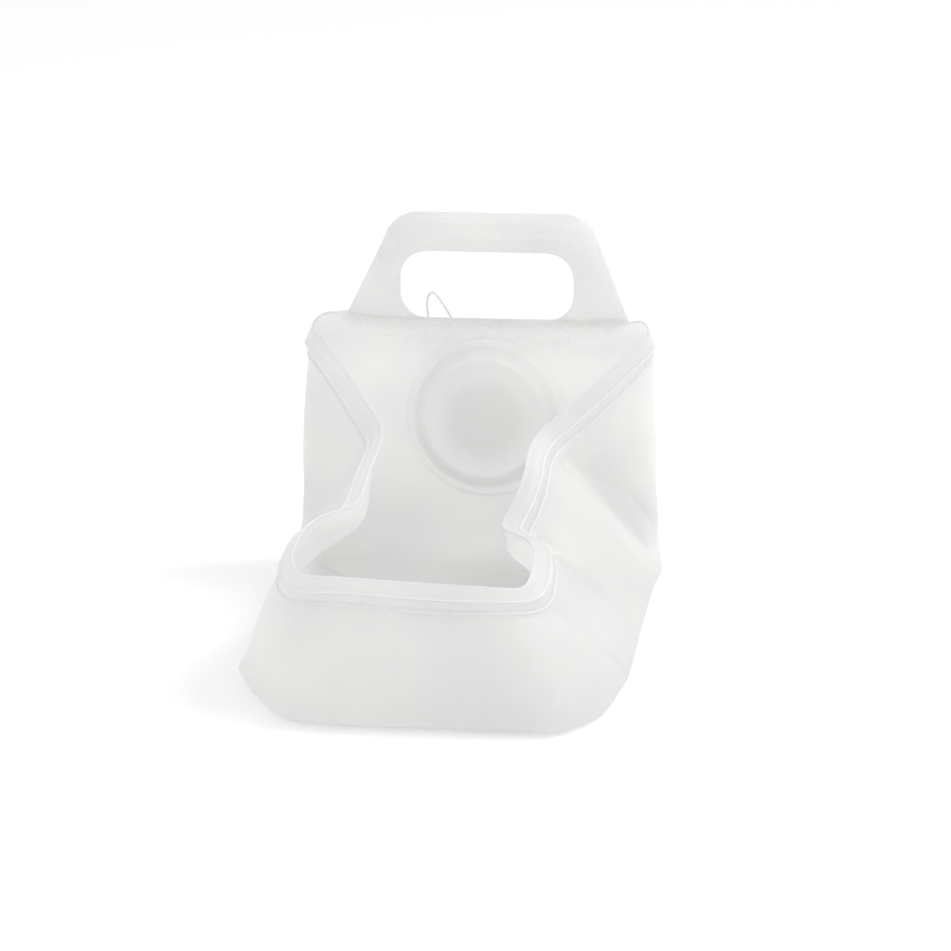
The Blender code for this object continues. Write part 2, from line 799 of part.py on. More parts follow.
def build_spigot(parts, cutters, plane, levels, materials):
    """Spigot: collar, shank, barrel, tap tower and nozzle, with washer and nut."""
    washer_low = levels["hub_top"] + seat
    collar_low = washer_low + washer_thick + seat
    nut_high = levels["inner_top"] - seat
    nut_low = nut_high - nut_thick
    tap_at = collar_low + collar_thick + barrel_reach
    shank_low = nut_low - shank_below_nut
    profile = [
        (0, tap_at),
        (barrel_radius, tap_at),
        (barrel_radius, collar_low + collar_thick),
        (collar_radius, collar_low + collar_thick),
        (collar_radius, collar_low),
        (shank_radius, collar_low),
        (shank_radius, shank_low),
        (0, shank_low),
    ]
    body = turned("spigot_body", profile)
    upright = plane @ Matrix.Translation((0, 0, tap_at)) @ Matrix.Rotation(-math.pi / 2, 4, "X")
    tower = cylinder("tap_tower", tower_radius, -tower_down, tower_up)
    nozzle_end = tower_down + nozzle_length
    nozzle = cylinder("tap_nozzle", nozzle_radius, -nozzle_end, 0)
    bore = cylinder("barrel_bore", barrel_bore, shank_low - overrun, tap_at)
    seat_bore = cylinder("plug_bore", plug_radius + plug_clearance, -plug_floor,
                         tower_up + overrun)
    outlet = cylinder("nozzle_bore", nozzle_bore, -nozzle_end - overrun, 0)
    body.matrix_world = plane
    bore.matrix_world = plane
    for piece in (tower, nozzle, seat_bore, outlet):
        piece.matrix_world = upright
    joined(body, [tower, nozzle], cutters)
    joined(body, [bore, seat_bore, outlet], cutters, "DIFFERENCE")
    washer = ring("spigot_washer", shank_radius + seat, collar_radius,
                  washer_low, washer_low + washer_thick)
    nut = outline_prism("spigot_nut", polygon(nut_radius, nut_sides), nut_low, nut_high)
    nut_hole = cylinder("nut_hole", shank_radius + seat, nut_low - overrun,
                        nut_high + overrun)
    joined(nut, [nut_hole], cutters, "DIFFERENCE")
    for piece in (washer, nut, nut_hole):
        piece.matrix_world = plane
    place(body, materials["spigot"], parts)
    place(washer, materials["seal"], parts)
    place(nut, materials["nut"], parts)
    for piece in (body, washer, nut):
        shade(piece)
    return upright


def build_tap(parts, cutters, upright, materials):
    """Quarter-turn plug with its port, two seals and the lever on its square stem."""
    groove = plug_radius - oring_depth
    half_groove = oring_groove / 2
    shoulder = tower_up + seat
    profile = [
        (0, shoulder), (plug_radius, shoulder),
        (plug_radius, upper_groove + half_groove), (groove, upper_groove + half_groove),
        (groove, upper_groove - half_groove), (plug_radius, upper_groove - half_groove),
        (plug_radius, half_groove - lower_groove), (groove, half_groove - lower_groove),
        (groove, -half_groove - lower_groove), (plug_radius, -half_groove - lower_groove),
        (plug_radius, seat - plug_floor), (0, seat - plug_floor),
    ]
    plug = turned("tap_plug", profile)
    half_stem = plug_stem / 2
    square = [(-half_stem, -half_stem), (half_stem, -half_stem),
              (half_stem, half_stem), (-half_stem, half_stem)]
    stem = outline_prism("plug_stem", square, 0, shoulder + stem_height)
    port = cylinder("plug_port", plug_port, 0, plug_radius * 2)
    down = cylinder("plug_drain", plug_port, -plug_radius * 2, 0)
    lever_low = shoulder + seat
    wide = half_stem + seat
    hole_square = [(-wide, -wide), (wide, -wide), (wide, wide), (-wide, wide)]
    hub = cylinder("tap_lever", lever_hub, lever_low, lever_low + lever_thick)
    half_lever = lever_width / 2
    end_radius = half_lever * lever_end_share
    arm = rounded_outline((((0, -half_lever), seat), ((lever_length, -half_lever), end_radius),
                           ((lever_length, half_lever), end_radius),
                           ((0, half_lever), seat)))
    blade = outline_prism("lever_arm", arm, lever_low + seat, lever_low + lever_thick - seat)
    opening = outline_prism("lever_hole", hole_square, lever_low - overrun,
                            lever_low + lever_thick + overrun)
    for piece in (plug, stem, down, hub, opening):
        piece.matrix_world = upright
    sideways = upright @ Matrix.Rotation(math.pi / 2, 4, "Z")
    blade.matrix_world = sideways
    port.matrix_world = upright @ Matrix.Rotation(math.pi / 2, 4, "Y")
    joined(plug, [stem], cutters)
    joined(plug, [port, down], cutters, "DIFFERENCE")
    joined(hub, [blade], cutters)
    joined(hub, [opening], cutters, "DIFFERENCE")
    place(plug, materials["plug"], parts)
    place(hub, materials["lever"], parts)
    shade(plug)
    shade(hub)
    ring_middle = (groove + plug_radius + plug_clearance) / 2
    for name, height in (("plug_seal_upper", upper_groove), ("plug_seal_lower", -lower_groove)):
        seal = torus(name, ring_middle, oring_wire / 2, height)
        seal.matrix_world = upright
        place(seal, materials["seal"], parts)
        shade(seal)


def build_tether(parts, cutters, plane, levels, materials):
    """Tether: one ring round the neck, one round the cap's hub, and the strap between."""
    neck_ring = ring("tether_neck_ring", neck_outer + seat,
                     neck_outer + seat + tether_ring_wall,
                     levels["ring_low"], levels["ring_high"])
    cap_low = levels["outer_top"] + seat
    cap_ring = ring("tether_cap_ring", cap_hub + seat,
                    cap_hub + seat + tether_ring_wall,
                    cap_low, cap_low + tether_ring_thick)
    start = (levels["ring_low"] + levels["ring_high"]) / 2
    points = [(across, up, out + start) for across, up, out in tether_route]
    fine = smooth_route(points, route_parts)
    strap = wire("tether_strap", fine, tether_wire, fineness=1)
    for piece in (neck_ring, cap_ring, strap):
        piece.matrix_world = plane
        place(piece, materials["tether"], parts)
        shade(piece)


def main():
    parts, cutters = start_scene()
    names = {
        "hoop": ("natural_polyethylene_hoop", (0.84, 0.85, 0.85), 0.30),
        "handle": ("natural_polyethylene_handle", (0.82, 0.83, 0.83), 0.32),
        "film": ("natural_polyethylene_film", (0.80, 0.81, 0.81), 0.35),
        "neck": ("natural_polyethylene_neck", (0.82, 0.83, 0.83), 0.35),
        "cap": ("white_polyethylene_cap", (0.86, 0.86, 0.85), 0.40),
        "seal": ("grey_rubber_seal", (0.20, 0.20, 0.21), 0.60),
        "spigot": ("white_polyethylene_spigot", (0.84, 0.84, 0.83), 0.40),
        "nut": ("white_nylon_nut", (0.80, 0.80, 0.78), 0.45),
        "plug": ("white_acetal_plug", (0.85, 0.85, 0.84), 0.35),
        "lever": ("white_polypropylene_lever", (0.84, 0.84, 0.83), 0.40),
        "tether": ("natural_polyethylene_tether", (0.78, 0.79, 0.79), 0.35),
    }
    materials = {key: make_material(*values) for key, values in names.items()}
    plane = build_skins(parts, cutters, materials)
    levels = neck_levels()
    build_hoop(parts, materials)
    build_handle(parts, cutters, materials)
    build_neck(parts, plane, levels, materials)
    build_cap(parts, cutters, plane, levels, materials)
    upright = build_spigot(parts, cutters, plane, levels, materials)
    build_tap(parts, cutters, upright, materials)
    build_tether(parts, cutters, plane, levels, materials)


main()
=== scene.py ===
# %% [markdown]
# # A collapsible water carrier in translucent polyethylene
# The object is a camping jug that folds flat. Here its front half is pushed back into
# its rear half, so it stands open like an armchair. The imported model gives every
# piece's place and size, and this lesson gives the pieces their fine surfaces,
# their plastic finish, the light and the camera.

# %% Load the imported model
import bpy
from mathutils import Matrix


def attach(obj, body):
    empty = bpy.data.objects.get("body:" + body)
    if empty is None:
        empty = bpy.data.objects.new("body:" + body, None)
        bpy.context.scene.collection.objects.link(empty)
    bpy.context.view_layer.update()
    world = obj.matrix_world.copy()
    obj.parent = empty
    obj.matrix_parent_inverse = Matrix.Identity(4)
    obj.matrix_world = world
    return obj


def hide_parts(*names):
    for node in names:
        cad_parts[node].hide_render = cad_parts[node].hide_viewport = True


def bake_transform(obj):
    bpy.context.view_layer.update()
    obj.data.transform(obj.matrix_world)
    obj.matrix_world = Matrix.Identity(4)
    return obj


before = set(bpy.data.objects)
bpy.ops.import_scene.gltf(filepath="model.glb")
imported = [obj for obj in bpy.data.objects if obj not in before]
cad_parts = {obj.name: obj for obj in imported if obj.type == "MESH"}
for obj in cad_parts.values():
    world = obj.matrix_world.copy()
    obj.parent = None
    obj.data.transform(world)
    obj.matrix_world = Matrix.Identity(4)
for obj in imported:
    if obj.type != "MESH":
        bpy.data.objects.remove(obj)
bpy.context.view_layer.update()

# %% Modules and units
import math

import bmesh
import bpy
import numpy as np
from mathutils import Matrix, Vector

MM = 0.001

# %% [markdown]
# ## Colours and nodes
# Designers write colours as sRGB hex values, and Blender's sockets take linear light,
# so one function turns one into the other. A second small function adds a shader node
# and sets its inputs, which keeps the material cells short enough to read.


# %% Helpers for colours and nodes
def linear(hex_colour):
    """An sRGB hex colour as linear red, green, blue and alpha."""
    parts = [int(hex_colour[start:start + 2], 16) / 255 for start in (1, 3, 5)]
    light = [p / 12.92 if p <= 0.04045 else ((p + 0.055) / 1.055) ** 2.4 for p in parts]
    return (*light, 1.0)


def add_node(tree, kind, settings=None, inputs=None):
    """One node with its settings; an input is a value or a socket to link from."""
    node = tree.nodes.new(kind)
    for name, value in (settings or {}).items():
        setattr(node, name, value)
    for name, value in (inputs or {}).items():
        if isinstance(value, bpy.types.NodeSocket):
            tree.links.new(value, node.inputs[name])
        else:
            node.inputs[name].default_value = value
    return node


print("milky white", [round(v, 3) for v in linear("#ECECEB")])

# %% [markdown]
# ## Natural polyethylene
# The jug is blow-moulded LDPE without pigment: milky, softly glossy, and a little
# uneven because the parison cools unevenly. A film this thin absorbs next to nothing: it
# passes a good half of the light on and throws the rest back, so even the bottom of the
# hollow stays pale. A glass-like shader would show sharp shapes through it, so a
# reflecting and a light-passing shader are mixed instead. Each skin is one surface.
# The mould was blasted, and it leaves fine pebbles on the parting land, which glint: an
# attribute called pebble says where, and there the colour is painted darker in the hollows
# between the pebbles, as their shade. A second attribute, thick, marks where the blown
# wall stayed thick and throws more of the light back.


# %% A material for natural polyethylene
POLYETHYLENE_IOR = 1.51
CLOUD_MM = 55.0
PEBBLE_MM = 1.9
PEBBLE_DEPTH_MM = 0.32
# Share of painted shade in the hollows between the pebbles
PEBBLE_SHADE_SHARE = 0.14
SMOOTHER, ROUGHER = 0.04, 0.05
THICK_PASSING_SHARE = 0.2


def polyethylene(name, pale, deep, roughness, grain_mm, grain_depth_mm, passing):
    """Blow-moulded LDPE: hex colours of its thin and thick places, share of light passed."""
    material = bpy.data.materials.new(name)
    material.use_nodes = True
    tree = material.node_tree
    tree.nodes.clear()
    place = add_node(tree, "ShaderNodeTexCoord").outputs["Object"]
    clouds = add_node(tree, "ShaderNodeTexNoise", inputs={
        "Vector": place, "Scale": 1 / (CLOUD_MM * MM), "Detail": 3.0, "Roughness": 0.55})
    spread = add_node(tree, "ShaderNodeMapRange", inputs={
        "Value": clouds.outputs["Fac"], "From Min": 0.35, "From Max": 0.65})
    film = add_node(tree, "ShaderNodeMix", {"data_type": "RGBA"}, {
        "Factor": spread.outputs[0], 6: linear(pale), 7: linear(deep)})
    pebble = add_node(tree, "ShaderNodeAttribute", {"attribute_name": "pebble"})
    cells = add_node(tree, "ShaderNodeTexVoronoi", {"feature": "SMOOTH_F1"}, {
        "Vector": place, "Scale": 1 / (PEBBLE_MM * MM), "Smoothness": 0.3, "Randomness": 0.9})
    stones = add_node(tree, "ShaderNodeMath", {"operation": "MULTIPLY"}, {
        0: cells.outputs["Distance"], 1: pebble.outputs["Fac"]})
    # Painted shade: in the hollows between the pebbles the colour is drawn towards grey #C9C9C9
    pebble_hollow_shade = add_node(tree, "ShaderNodeMapRange", inputs={
        "Value": stones.outputs[0], "From Min": 0.15, "From Max": 0.75,
        "To Min": 0.0, "To Max": PEBBLE_SHADE_SHARE})
    colour = add_node(tree, "ShaderNodeMix", {"data_type": "RGBA"}, {
        "Factor": pebble_hollow_shade.outputs[0], 6: film.outputs[2], 7: linear("#C9C9C9")})
    grain = add_node(tree, "ShaderNodeTexNoise", inputs={
        "Vector": place, "Scale": 1 / (grain_mm * MM), "Detail": 4.0, "Roughness": 0.6})
    stones_m = add_node(tree, "ShaderNodeMath", {"operation": "MULTIPLY"}, {
        0: stones.outputs[0], 1: -PEBBLE_DEPTH_MM * MM})
    grain_m = add_node(tree, "ShaderNodeMath", {"operation": "MULTIPLY"}, {
        0: grain.outputs["Fac"], 1: grain_depth_mm * MM})
    height = add_node(tree, "ShaderNodeMath", {"operation": "ADD"}, {
        0: stones_m.outputs[0], 1: grain_m.outputs[0]})
    bump = add_node(tree, "ShaderNodeBump", inputs={
        "Strength": 1.0, "Distance": 1.0, "Height": height.outputs[0]})
    rough = add_node(tree, "ShaderNodeMapRange", inputs={
        "Value": grain.outputs["Fac"], "From Min": 0.3, "From Max": 0.7,
        "To Min": roughness - SMOOTHER, "To Max": roughness + ROUGHER})
    shader = add_node(tree, "ShaderNodeBsdfPrincipled", inputs={
        "Base Color": colour.outputs[2], "Roughness": rough.outputs[0],
        "Normal": bump.outputs[0], "IOR": POLYETHYLENE_IOR})
    passed = add_node(tree, "ShaderNodeBsdfTranslucent", inputs={
        "Color": colour.outputs[2], "Normal": bump.outputs[0]})
    thick = add_node(tree, "ShaderNodeAttribute", {"attribute_name": "thick"})
    share = add_node(tree, "ShaderNodeMapRange", inputs={
        "Value": thick.outputs["Fac"], "To Min": passing,
        "To Max": passing * THICK_PASSING_SHARE})
    both = add_node(tree, "ShaderNodeMixShader", inputs={
        0: share.outputs[0], 1: shader.outputs[0], 2: passed.outputs[0]})
    add_node(tree, "ShaderNodeOutputMaterial", inputs={"Surface": both.outputs[0]})
    return material


ldpe_skin = polyethylene("ldpe_blow_moulded_skin", "#FDFDFC", "#F9F9F9", 0.32, 2.2, 0.03, 0.62)
ldpe_hoop = polyethylene("ldpe_blow_moulded_hoop", "#FDFDFD", "#FBFBFB", 0.24, 2.0, 0.015, 0.12)
ldpe_grip = polyethylene("ldpe_blow_moulded_grip", "#F8F8F7", "#F3F3F3", 0.28, 2.4, 0.02, 0.6)
print("materials", len(bpy.data.materials))

# %% [markdown]
# ## The hoop and the walls as rows of stations
# The jug's form is held by a loop of stations round the stiff hoop. Each row below
# gives the hoop's place in shares of half the width, half the length and the rim's
# height, then the foot of the same wall line, the wall's bulge and the corner's lift.
# A smooth curve through the rows gives as many fine stations as the surface needs.

# %% Rows round the hoop
HALF_WIDTH = 140 * MM
HALF_LENGTH = 159 * MM
RIM_HEIGHT = 185.5 * MM
EDGE_RISE = 8 * MM
SKIN_GAP = 6 * MM
STATION_SHARES = np.array([
    (-0.01, 1.126, 1.000, -0.01, 0.990, 0.0, 0.0),
    (-0.23, 1.126, 1.000, -0.22, 0.990, 0.0, 0.0),
    (-0.45, 1.126, 1.000, -0.44, 0.990, 0.0, 0.0),
    (-0.675, 1.126, 1.012, -0.66, 0.990, 0.0, 0.0),
    (-0.800, 1.121, 1.036, -0.80, 0.988, 0.0, 0.0),
    (-0.893, 1.110, 1.022, -0.895, 0.983, 0.3, 0.0),
    (-0.940, 1.085, 0.976, -0.950, 0.975, 0.6, 0.0),
    (-0.882, 1.038, 0.936, -0.992, 0.958, 0.5, 0.0),
    (-0.734, 0.912, 0.844, -1.018, 0.935, 0.2, 0.0),
    (-0.604, 0.792, 0.752, -1.034, 0.905, 0.0, 0.0),
    (-0.538, 0.730, 0.707, -1.031, 0.877, 0.0, 0.0),
    (-0.501, 0.673, 0.682, -1.025, 0.845, 0.1, 0.0),
    (-0.483, 0.597, 0.657, -1.017, 0.800, 0.3, 0.0),
    (-0.489, 0.484, 0.627, -1.008, 0.695, 0.4, 0.0),
    (-0.509, 0.358, 0.584, -1.003, 0.560, 0.4, 0.0),
    (-0.527, 0.220, 0.525, -0.999, 0.400, 0.4, 0.0),
    (-0.550, 0.119, 0.515, -0.997, 0.260, 0.4, 0.0),
    (-0.603, -0.006, 0.528, -0.994, 0.090, 0.4, 0.0),
    (-0.665, -0.157, 0.545, -0.990, -0.080, 0.4, 0.0),
    (-0.708, -0.321, 0.548, -0.985, -0.260, 0.4, 0.0),
    (-0.721, -0.472, 0.532, -0.980, -0.420, 0.3, 0.0),
    (-0.723, -0.560, 0.509, -0.972, -0.540, 0.1, 0.1),
    (-0.682, -0.642, 0.481, -0.949, -0.616, 0.0, 0.6),
    (-0.605, -0.673, 0.474, -0.846, -0.774, 0.5, 0.1),
    (-0.417, -0.686, 0.476, -0.675, -0.962, 0.8, 0.0),
    (-0.250, -0.692, 0.473, -0.440, -1.000, 0.9, 0.0),
    (-0.091, -0.698, 0.470, -0.170, -0.998, 0.9, 0.0),
    (0.035, -0.698, 0.467, 0.070, -0.995, 0.9, 0.0),
    (0.156, -0.698, 0.465, 0.290, -0.993, 0.9, 0.0),
    (0.255, -0.692, 0.462, 0.500, -0.988, 0.8, 0.0),
    (0.351, -0.686, 0.459, 0.700, -0.955, 0.7, 0.0),
    (0.450, -0.654, 0.451, 0.862, -0.772, 0.4, 0.1),
    (0.496, -0.591, 0.463, 0.914, -0.588, 0.0, 0.6),
    (0.505, -0.472, 0.491, 0.944, -0.400, 0.2, 0.1),
    (0.480, -0.283, 0.492, 0.953, -0.220, 0.3, 0.0),
    (0.420, -0.094, 0.469, 0.957, -0.050, 0.3, 0.0),
    (0.337, 0.057, 0.442, 0.960, 0.100, 0.3, 0.0),
    (0.271, 0.157, 0.429, 0.963, 0.220, 0.3, 0.0),
    (0.260, 0.233, 0.438, 0.966, 0.330, 0.3, 0.0),
    (0.305, 0.333, 0.499, 0.969, 0.460, 0.3, 0.0),
    (0.336, 0.459, 0.567, 0.973, 0.620, 0.3, 0.0),
    (0.345, 0.597, 0.626, 0.981, 0.760, 0.2, 0.0),
    (0.394, 0.711, 0.670, 0.993, 0.865, -0.1, 0.0),
    (0.482, 0.786, 0.715, 0.999, 0.905, -0.1, 0.0),
    (0.617, 0.874, 0.795, 0.998, 0.932, 0.6, 0.0),
    (0.784, 0.981, 0.896, 0.990, 0.956, 0.9, 0.0),
    (0.864, 1.038, 0.946, 0.970, 0.973, 0.8, 0.0),
    (0.919, 1.088, 0.989, 0.930, 0.984, 0.4, 0.0),
    (0.879, 1.110, 1.028, 0.872, 0.989, 0.0, 0.0),
    (0.796, 1.119, 1.023, 0.790, 0.989, 0.0, 0.0),
    (0.644, 1.126, 1.009, 0.630, 0.990, 0.0, 0.0),
    (0.426, 1.126, 1.003, 0.415, 0.990, 0.0, 0.0),
    (0.207, 1.126, 1.001, 0.200, 0.990, 0.0, 0.0),
])
ROWS = len(STATION_SHARES)
PER_ROW = 15
row_of = np.arange(ROWS * PER_ROW) / PER_ROW
print("stations", len(row_of))


# %% A smooth closed curve through the rows
def catmull_rom(a, b, c, d, share):
    """The point at a share of the way from b to c on the smooth curve a, b, c, d."""
    return 0.5 * (2 * b + (c - a) * share + (2 * a - 5 * b + 4 * c - d) * share ** 2
                  + (3 * b - a - 3 * c + d) * share ** 3)


def through_rows(values):
    """A smooth curve through one value or vector per row, at every station."""
    values = np.asarray(values, float)
    share = (row_of % 1)[(...,) + (None,) * (values.ndim - 1)]
    index = row_of.astype(int)
    a, b, c, d = (values[(index + step) % ROWS] for step in (-1, 0, 1, 2))
    return catmull_rom(a, b, c, d, share)


def unit(vectors):
    """Vectors of the same direction and length 1."""
    return vectors / np.linalg.norm(vectors, axis=-1, keepdims=True)


def soften(values, spread):
    """Average round the loop with a bell curve that many stations wide."""
    count = len(values)
    offset = np.minimum(np.arange(count), count - np.arange(count))
    bell = np.exp(-0.5 * (offset / spread) ** 2)
    bell /= bell.sum()
    shape = np.fft.fft(bell)[:, None]
    return np.real(np.fft.ifft(np.fft.fft(values, axis=0) * shape, axis=0))


def rows_away(row):
    """How many rows each station lies from a row, the shorter way round the loop."""
    return np.abs((row_of - row + ROWS / 2) % ROWS - ROWS / 2)


def near_row(row, reach):
    """1 at a row, fading smoothly to 0 that many rows away."""
    away = rows_away(row) / reach
    return np.where(away < 1, (1 + np.cos(np.pi * np.minimum(away, 1))) / 2, 0)


def level_row(row, flat, fade):
    """1 within flat rows of a row, then down smoothly to 0 over the next fade rows."""
    slope = np.clip((rows_away(row) - flat) / fade, 0, 1)
    return 1 - slope * slope * (3 - 2 * slope)


rows = through_rows(STATION_SHARES)
rim = rows[:, :3] * (HALF_WIDTH, HALF_LENGTH, RIM_HEIGHT)
foot = np.column_stack([rows[:, 3] * HALF_WIDTH, rows[:, 4] * HALF_LENGTH,
                        EDGE_RISE * (1 + rows[:, 6])])
bulge = rows[:, 5] * EDGE_RISE
along = np.roll(rim, -1, 0) - np.roll(rim, 1, 0)
down = unit(foot - rim)
outward = unit(np.cross(down, along))
print("hoop length mm", round(float(np.linalg.norm(np.diff(rim, axis=0), axis=1).sum() / MM)))

# %% [markdown]
# ## The outer skin
# Each station's line runs over the hoop's rounded shoulder, down a land with fine
# steps, down the wall and round the lower edge to the flat face. Where the film
# buckled, sharp creases run from the hoop's bends to the lower corners. They follow the
# station lines, so a crease is a small offset that peaks at one row.


# %% Building a closed band of quads from rings
def ring_mesh(name, rings, material, masks=None, cap=True, thick=None):
    """A mesh from rings of points, each a closed loop, with its last ring filled."""
    grid = np.array(rings)
    levels, count = grid.shape[:2]
    points = grid.reshape(-1, 3)
    here = np.arange(count)
    other = (here + 1) % count
    faces = []
    for level in range(levels - 1):
        low, high = level * count, (level + 1) * count
        faces += np.column_stack([low + here, high + here, high + other, low + other]).tolist()
    if cap:
        faces.append(((levels - 1) * count + here[::-1]).tolist())
    mesh = bpy.data.meshes.new(name)
    mesh.from_pydata(points.tolist(), [], faces)
    for layer_name, values in (("pebble", masks), ("thick", thick)):
        layer = mesh.attributes.new(layer_name, "FLOAT", "POINT")
        filled = np.zeros((levels, count)) if values is None else np.array(values)
        layer.data.foreach_set("value", filled.astype(np.float32).reshape(-1))
    mesh.materials.append(material)
    mesh.shade_smooth()
    obj = bpy.data.objects.new(name, mesh)
    bpy.context.scene.collection.objects.link(obj)
    return obj


# %% Turning a wall into its flat face
WALL_STEPS = 40
ROUND_STEPS = 9
FACE_SHARES = (0.97, 0.7, 0.35, 0.08)


def flow(start, corner, end, share):
    """A point on the smooth curve from start to end that bends towards corner."""
    return (1 - share) ** 2 * start + 2 * share * (1 - share) * corner + share ** 2 * end


def add_face(rings, foot_line, draw, bend, height):
    """Add rings that round a wall's end into a level face and run to its middle.

    draw is how far the face starts inside the foot line, and bend how far the corner
    reaches past it, as a share of the wall's last stretch."""
    wall_end = rings[-1]
    ground = np.column_stack([foot_line[:, 0], foot_line[:, 1], np.zeros(len(foot_line))])
    inset = ground * (1 - draw / np.linalg.norm(ground, axis=1, keepdims=True))
    inset[:, 2] = height
    corner = foot_line + (foot_line - wall_end) * bend
    corner[:, 2] = height
    for step in range(1, ROUND_STEPS + 1):
        rings.append(flow(wall_end, corner, inset, step / ROUND_STEPS))
    for share in FACE_SHARES:
        ring = inset * share
        ring[:, 2] = height
        rings.append(ring)


# %% Distances along a ring
def from_row(ring, row):
    """Distance along a closed ring from a row to each of its stations, signed."""
    steps = np.linalg.norm(np.roll(ring, -1, 0) - ring, axis=1)
    lengths = np.concatenate([[0], np.cumsum(steps)])
    at = np.interp(row * PER_ROW, np.arange(len(ring) + 1), lengths)
    return (lengths[:-1] - at + lengths[-1] / 2) % lengths[-1] - lengths[-1] / 2


print("front bar mm", round(float(np.ptp(from_row(rim, 27)[23 * PER_ROW:31 * PER_ROW])) / MM))

# %% Creases of the outer wall
# Each crease runs from a row at the hoop to a row at the foot. Its height is given in
# mm at shares of the way down, and then how far its two flat flanks reach
CREASES = (
    (41.9, 43.9, ((0, -3), (0.15, -6), (0.5, -9), (0.85, -7.5), (1, -2)), ((0, 9), (1, 24)), 17),
    (41.55, 41.85, ((0, 0), (0.04, -2.5), (0.13, -3), (0.22, 0)), ((0, 2.5), (1, 2.5)), 2.5),
    (37.4, 38.3, ((0, -3), (0.2, -2), (0.6, 0)), ((0, 12), (1, 12)), 12),
    (12.0, 11.0, ((0, -2), (0.3, -3.5), (1, 0)), ((0, 20), (1, 20)), 20),
    (22.1, 21.95, ((0, 1.0), (0.6, 3.0), (1, 5.0)), ((0, 12), (1, 16)), 14),
)
# The bevel at the front right corner opens from the hoop to the foot, so the front
# face stays flat up to it. Each place across it is a share of its half width, mm past
# that and mm more at the foot, and its height is a share of the ridge's. The dip
# beside the ridge lies at the sixth place
BEVEL_ROWS = (31.75, 32.1)
BEVEL_HALF_MM = ((0, 1.0), (0.5, 4.2), (1, 6.5))
BEVEL_RIDGE_MM = ((0, 2.0), (0.25, 4.5), (0.6, 6.5), (1, 6.0))
BEVEL_ACROSS = (
    (-1, -44, 0, 0), (-1, -30, 0, 0.1), (-1, -15, 0, 0.42), (-1, 0, 0, 1), (0.5, 0, 0, 0.92),
    (1, 0, 4, 0.85), (1, 1, 9, 0.75), (1, 20, 0, 0.25), (1, 36, 0, 0),
)
BEVEL_DIP_MM = 6.5
BEVEL_DIP_PLACE = 5


def at_share(table, share):
    """The value of a table of (share, value) pairs at a share."""
    return float(np.interp(share, [row[0] for row in table], [row[1] for row in table]))


def crease_offset(ring, share):
    """How far each station of a ring moves outwards at a share of the way down."""
    total = np.zeros(len(row_of))
    for top_row, low_row, heights, before, after in CREASES:
        away = from_row(ring, top_row + (low_row - top_row) * share) / MM
        flank = np.where(away < 0, at_share(before, share), after)
        total += at_share(heights, share) * np.clip(1 - np.abs(away) / flank, 0, 1)
    away = from_row(ring, BEVEL_ROWS[0] + (BEVEL_ROWS[1] - BEVEL_ROWS[0]) * share) / MM
    half, ridge = at_share(BEVEL_HALF_MM, share), at_share(BEVEL_RIDGE_MM, share)
    places = [of_half * half + past + at_foot * share for of_half, past, at_foot, _ in BEVEL_ACROSS]
    heights = np.array([of_ridge for *_, of_ridge in BEVEL_ACROSS]) * ridge
    heights[BEVEL_DIP_PLACE] -= BEVEL_DIP_MM * share ** 2
    total += np.interp(away, places, heights)
    return total * MM


print("creases", len(CREASES) + 1)

# %% The outer skin's rings
# Each pair is mm down from the rim and mm outwards
LAND = [(-2.5, -1.5), (-2.9, -1.0), (-2.7, -0.4), (-2.1, 0.0), (-1.3, 0.2), (-0.5, 0.6),
        (0.6, 1.3), (2.0, 2.1), (4.0, 3.0), (6.0, 3.6), (7.6, 3.8), (8.4, 4.2), (9.2, 4.3),
        (10.0, 3.8), (11.4, 3.5), (13.0, 3.2), (14.6, 2.9), (15.3, 2.3), (15.9, 1.8),
        (16.5, 1.9), (17.1, 2.5), (17.8, 2.6), (18.6, 2.2), (20.0, 2.2), (21.6, 2.4), (23.5, 2.6)]
OUTER_WALL_SHARE = 0.95
OUTER_SOFT_ROWS = 0.35
out_soft = unit(soften(outward, OUTER_SOFT_ROWS * PER_ROW))
flat_out = unit(np.column_stack([
    np.roll(foot, -1, 0)[:, 1] - np.roll(foot, 1, 0)[:, 1],
    np.roll(foot, 1, 0)[:, 0] - np.roll(foot, -1, 0)[:, 0], np.zeros(len(foot))]))
outer_foot = foot + flat_out * SKIN_GAP / 2
outer_rings = [rim + down * (drop * MM) + out_soft * (out * MM) for drop, out in LAND]
wall_top = outer_rings[-1]
for step in range(1, WALL_STEPS + 1):
    share = step / WALL_STEPS * OUTER_WALL_SHARE
    plain = wall_top + (outer_foot - wall_top) * share
    swell = np.sin(np.pi * share) * bulge + crease_offset(plain, share)
    outer_rings.append(plain + out_soft * swell[:, None])
add_face(outer_rings, outer_foot, draw=12 * MM, bend=0.4, height=0)

# %% Where the outer skin is pebbled
# The land's middle is pebbled, most of all on the right arm, and so is the crease
# that starts at the right arm's foot
LAND_MIDDLE_MM, LAND_REACH_MM = 7, 11
ARM_ROW, ARM_REACH_ROWS = 45.2, 3.4
ARM_SHARE, PLAIN_SHARE, CREASE_SHARE = 0.8, 0.06, 0.45
CREASE_TOP_ROW, CREASE_RUN_ROWS = 41.5, 2.5
CREASE_SIDE_MM, CREASE_FADE_MM = 3, 4
CREASE_END = 1.6
right_arm = near_row(ARM_ROW, ARM_REACH_ROWS) ** 0.5
pebble_out = []
for drop, _ in LAND:
    on_land = np.clip(1 - abs(drop - LAND_MIDDLE_MM) / LAND_REACH_MM, 0, 1) ** 0.5
    pebble_out.append(on_land * (ARM_SHARE * right_arm + PLAIN_SHARE))
for step in range(1, WALL_STEPS + 1):
    share = step / WALL_STEPS
    crease_row = CREASE_TOP_ROW + CREASE_RUN_ROWS * share
    away = from_row(outer_rings[len(LAND) + step - 1], crease_row) / MM
    beside = np.exp(-np.abs(away + CREASE_SIDE_MM) / CREASE_FADE_MM)
    pebble_out.append(CREASE_SHARE * beside * min(1, CREASE_END - CREASE_END * share))
pebble_out += [np.zeros(len(rim))] * (len(outer_rings) - len(pebble_out))
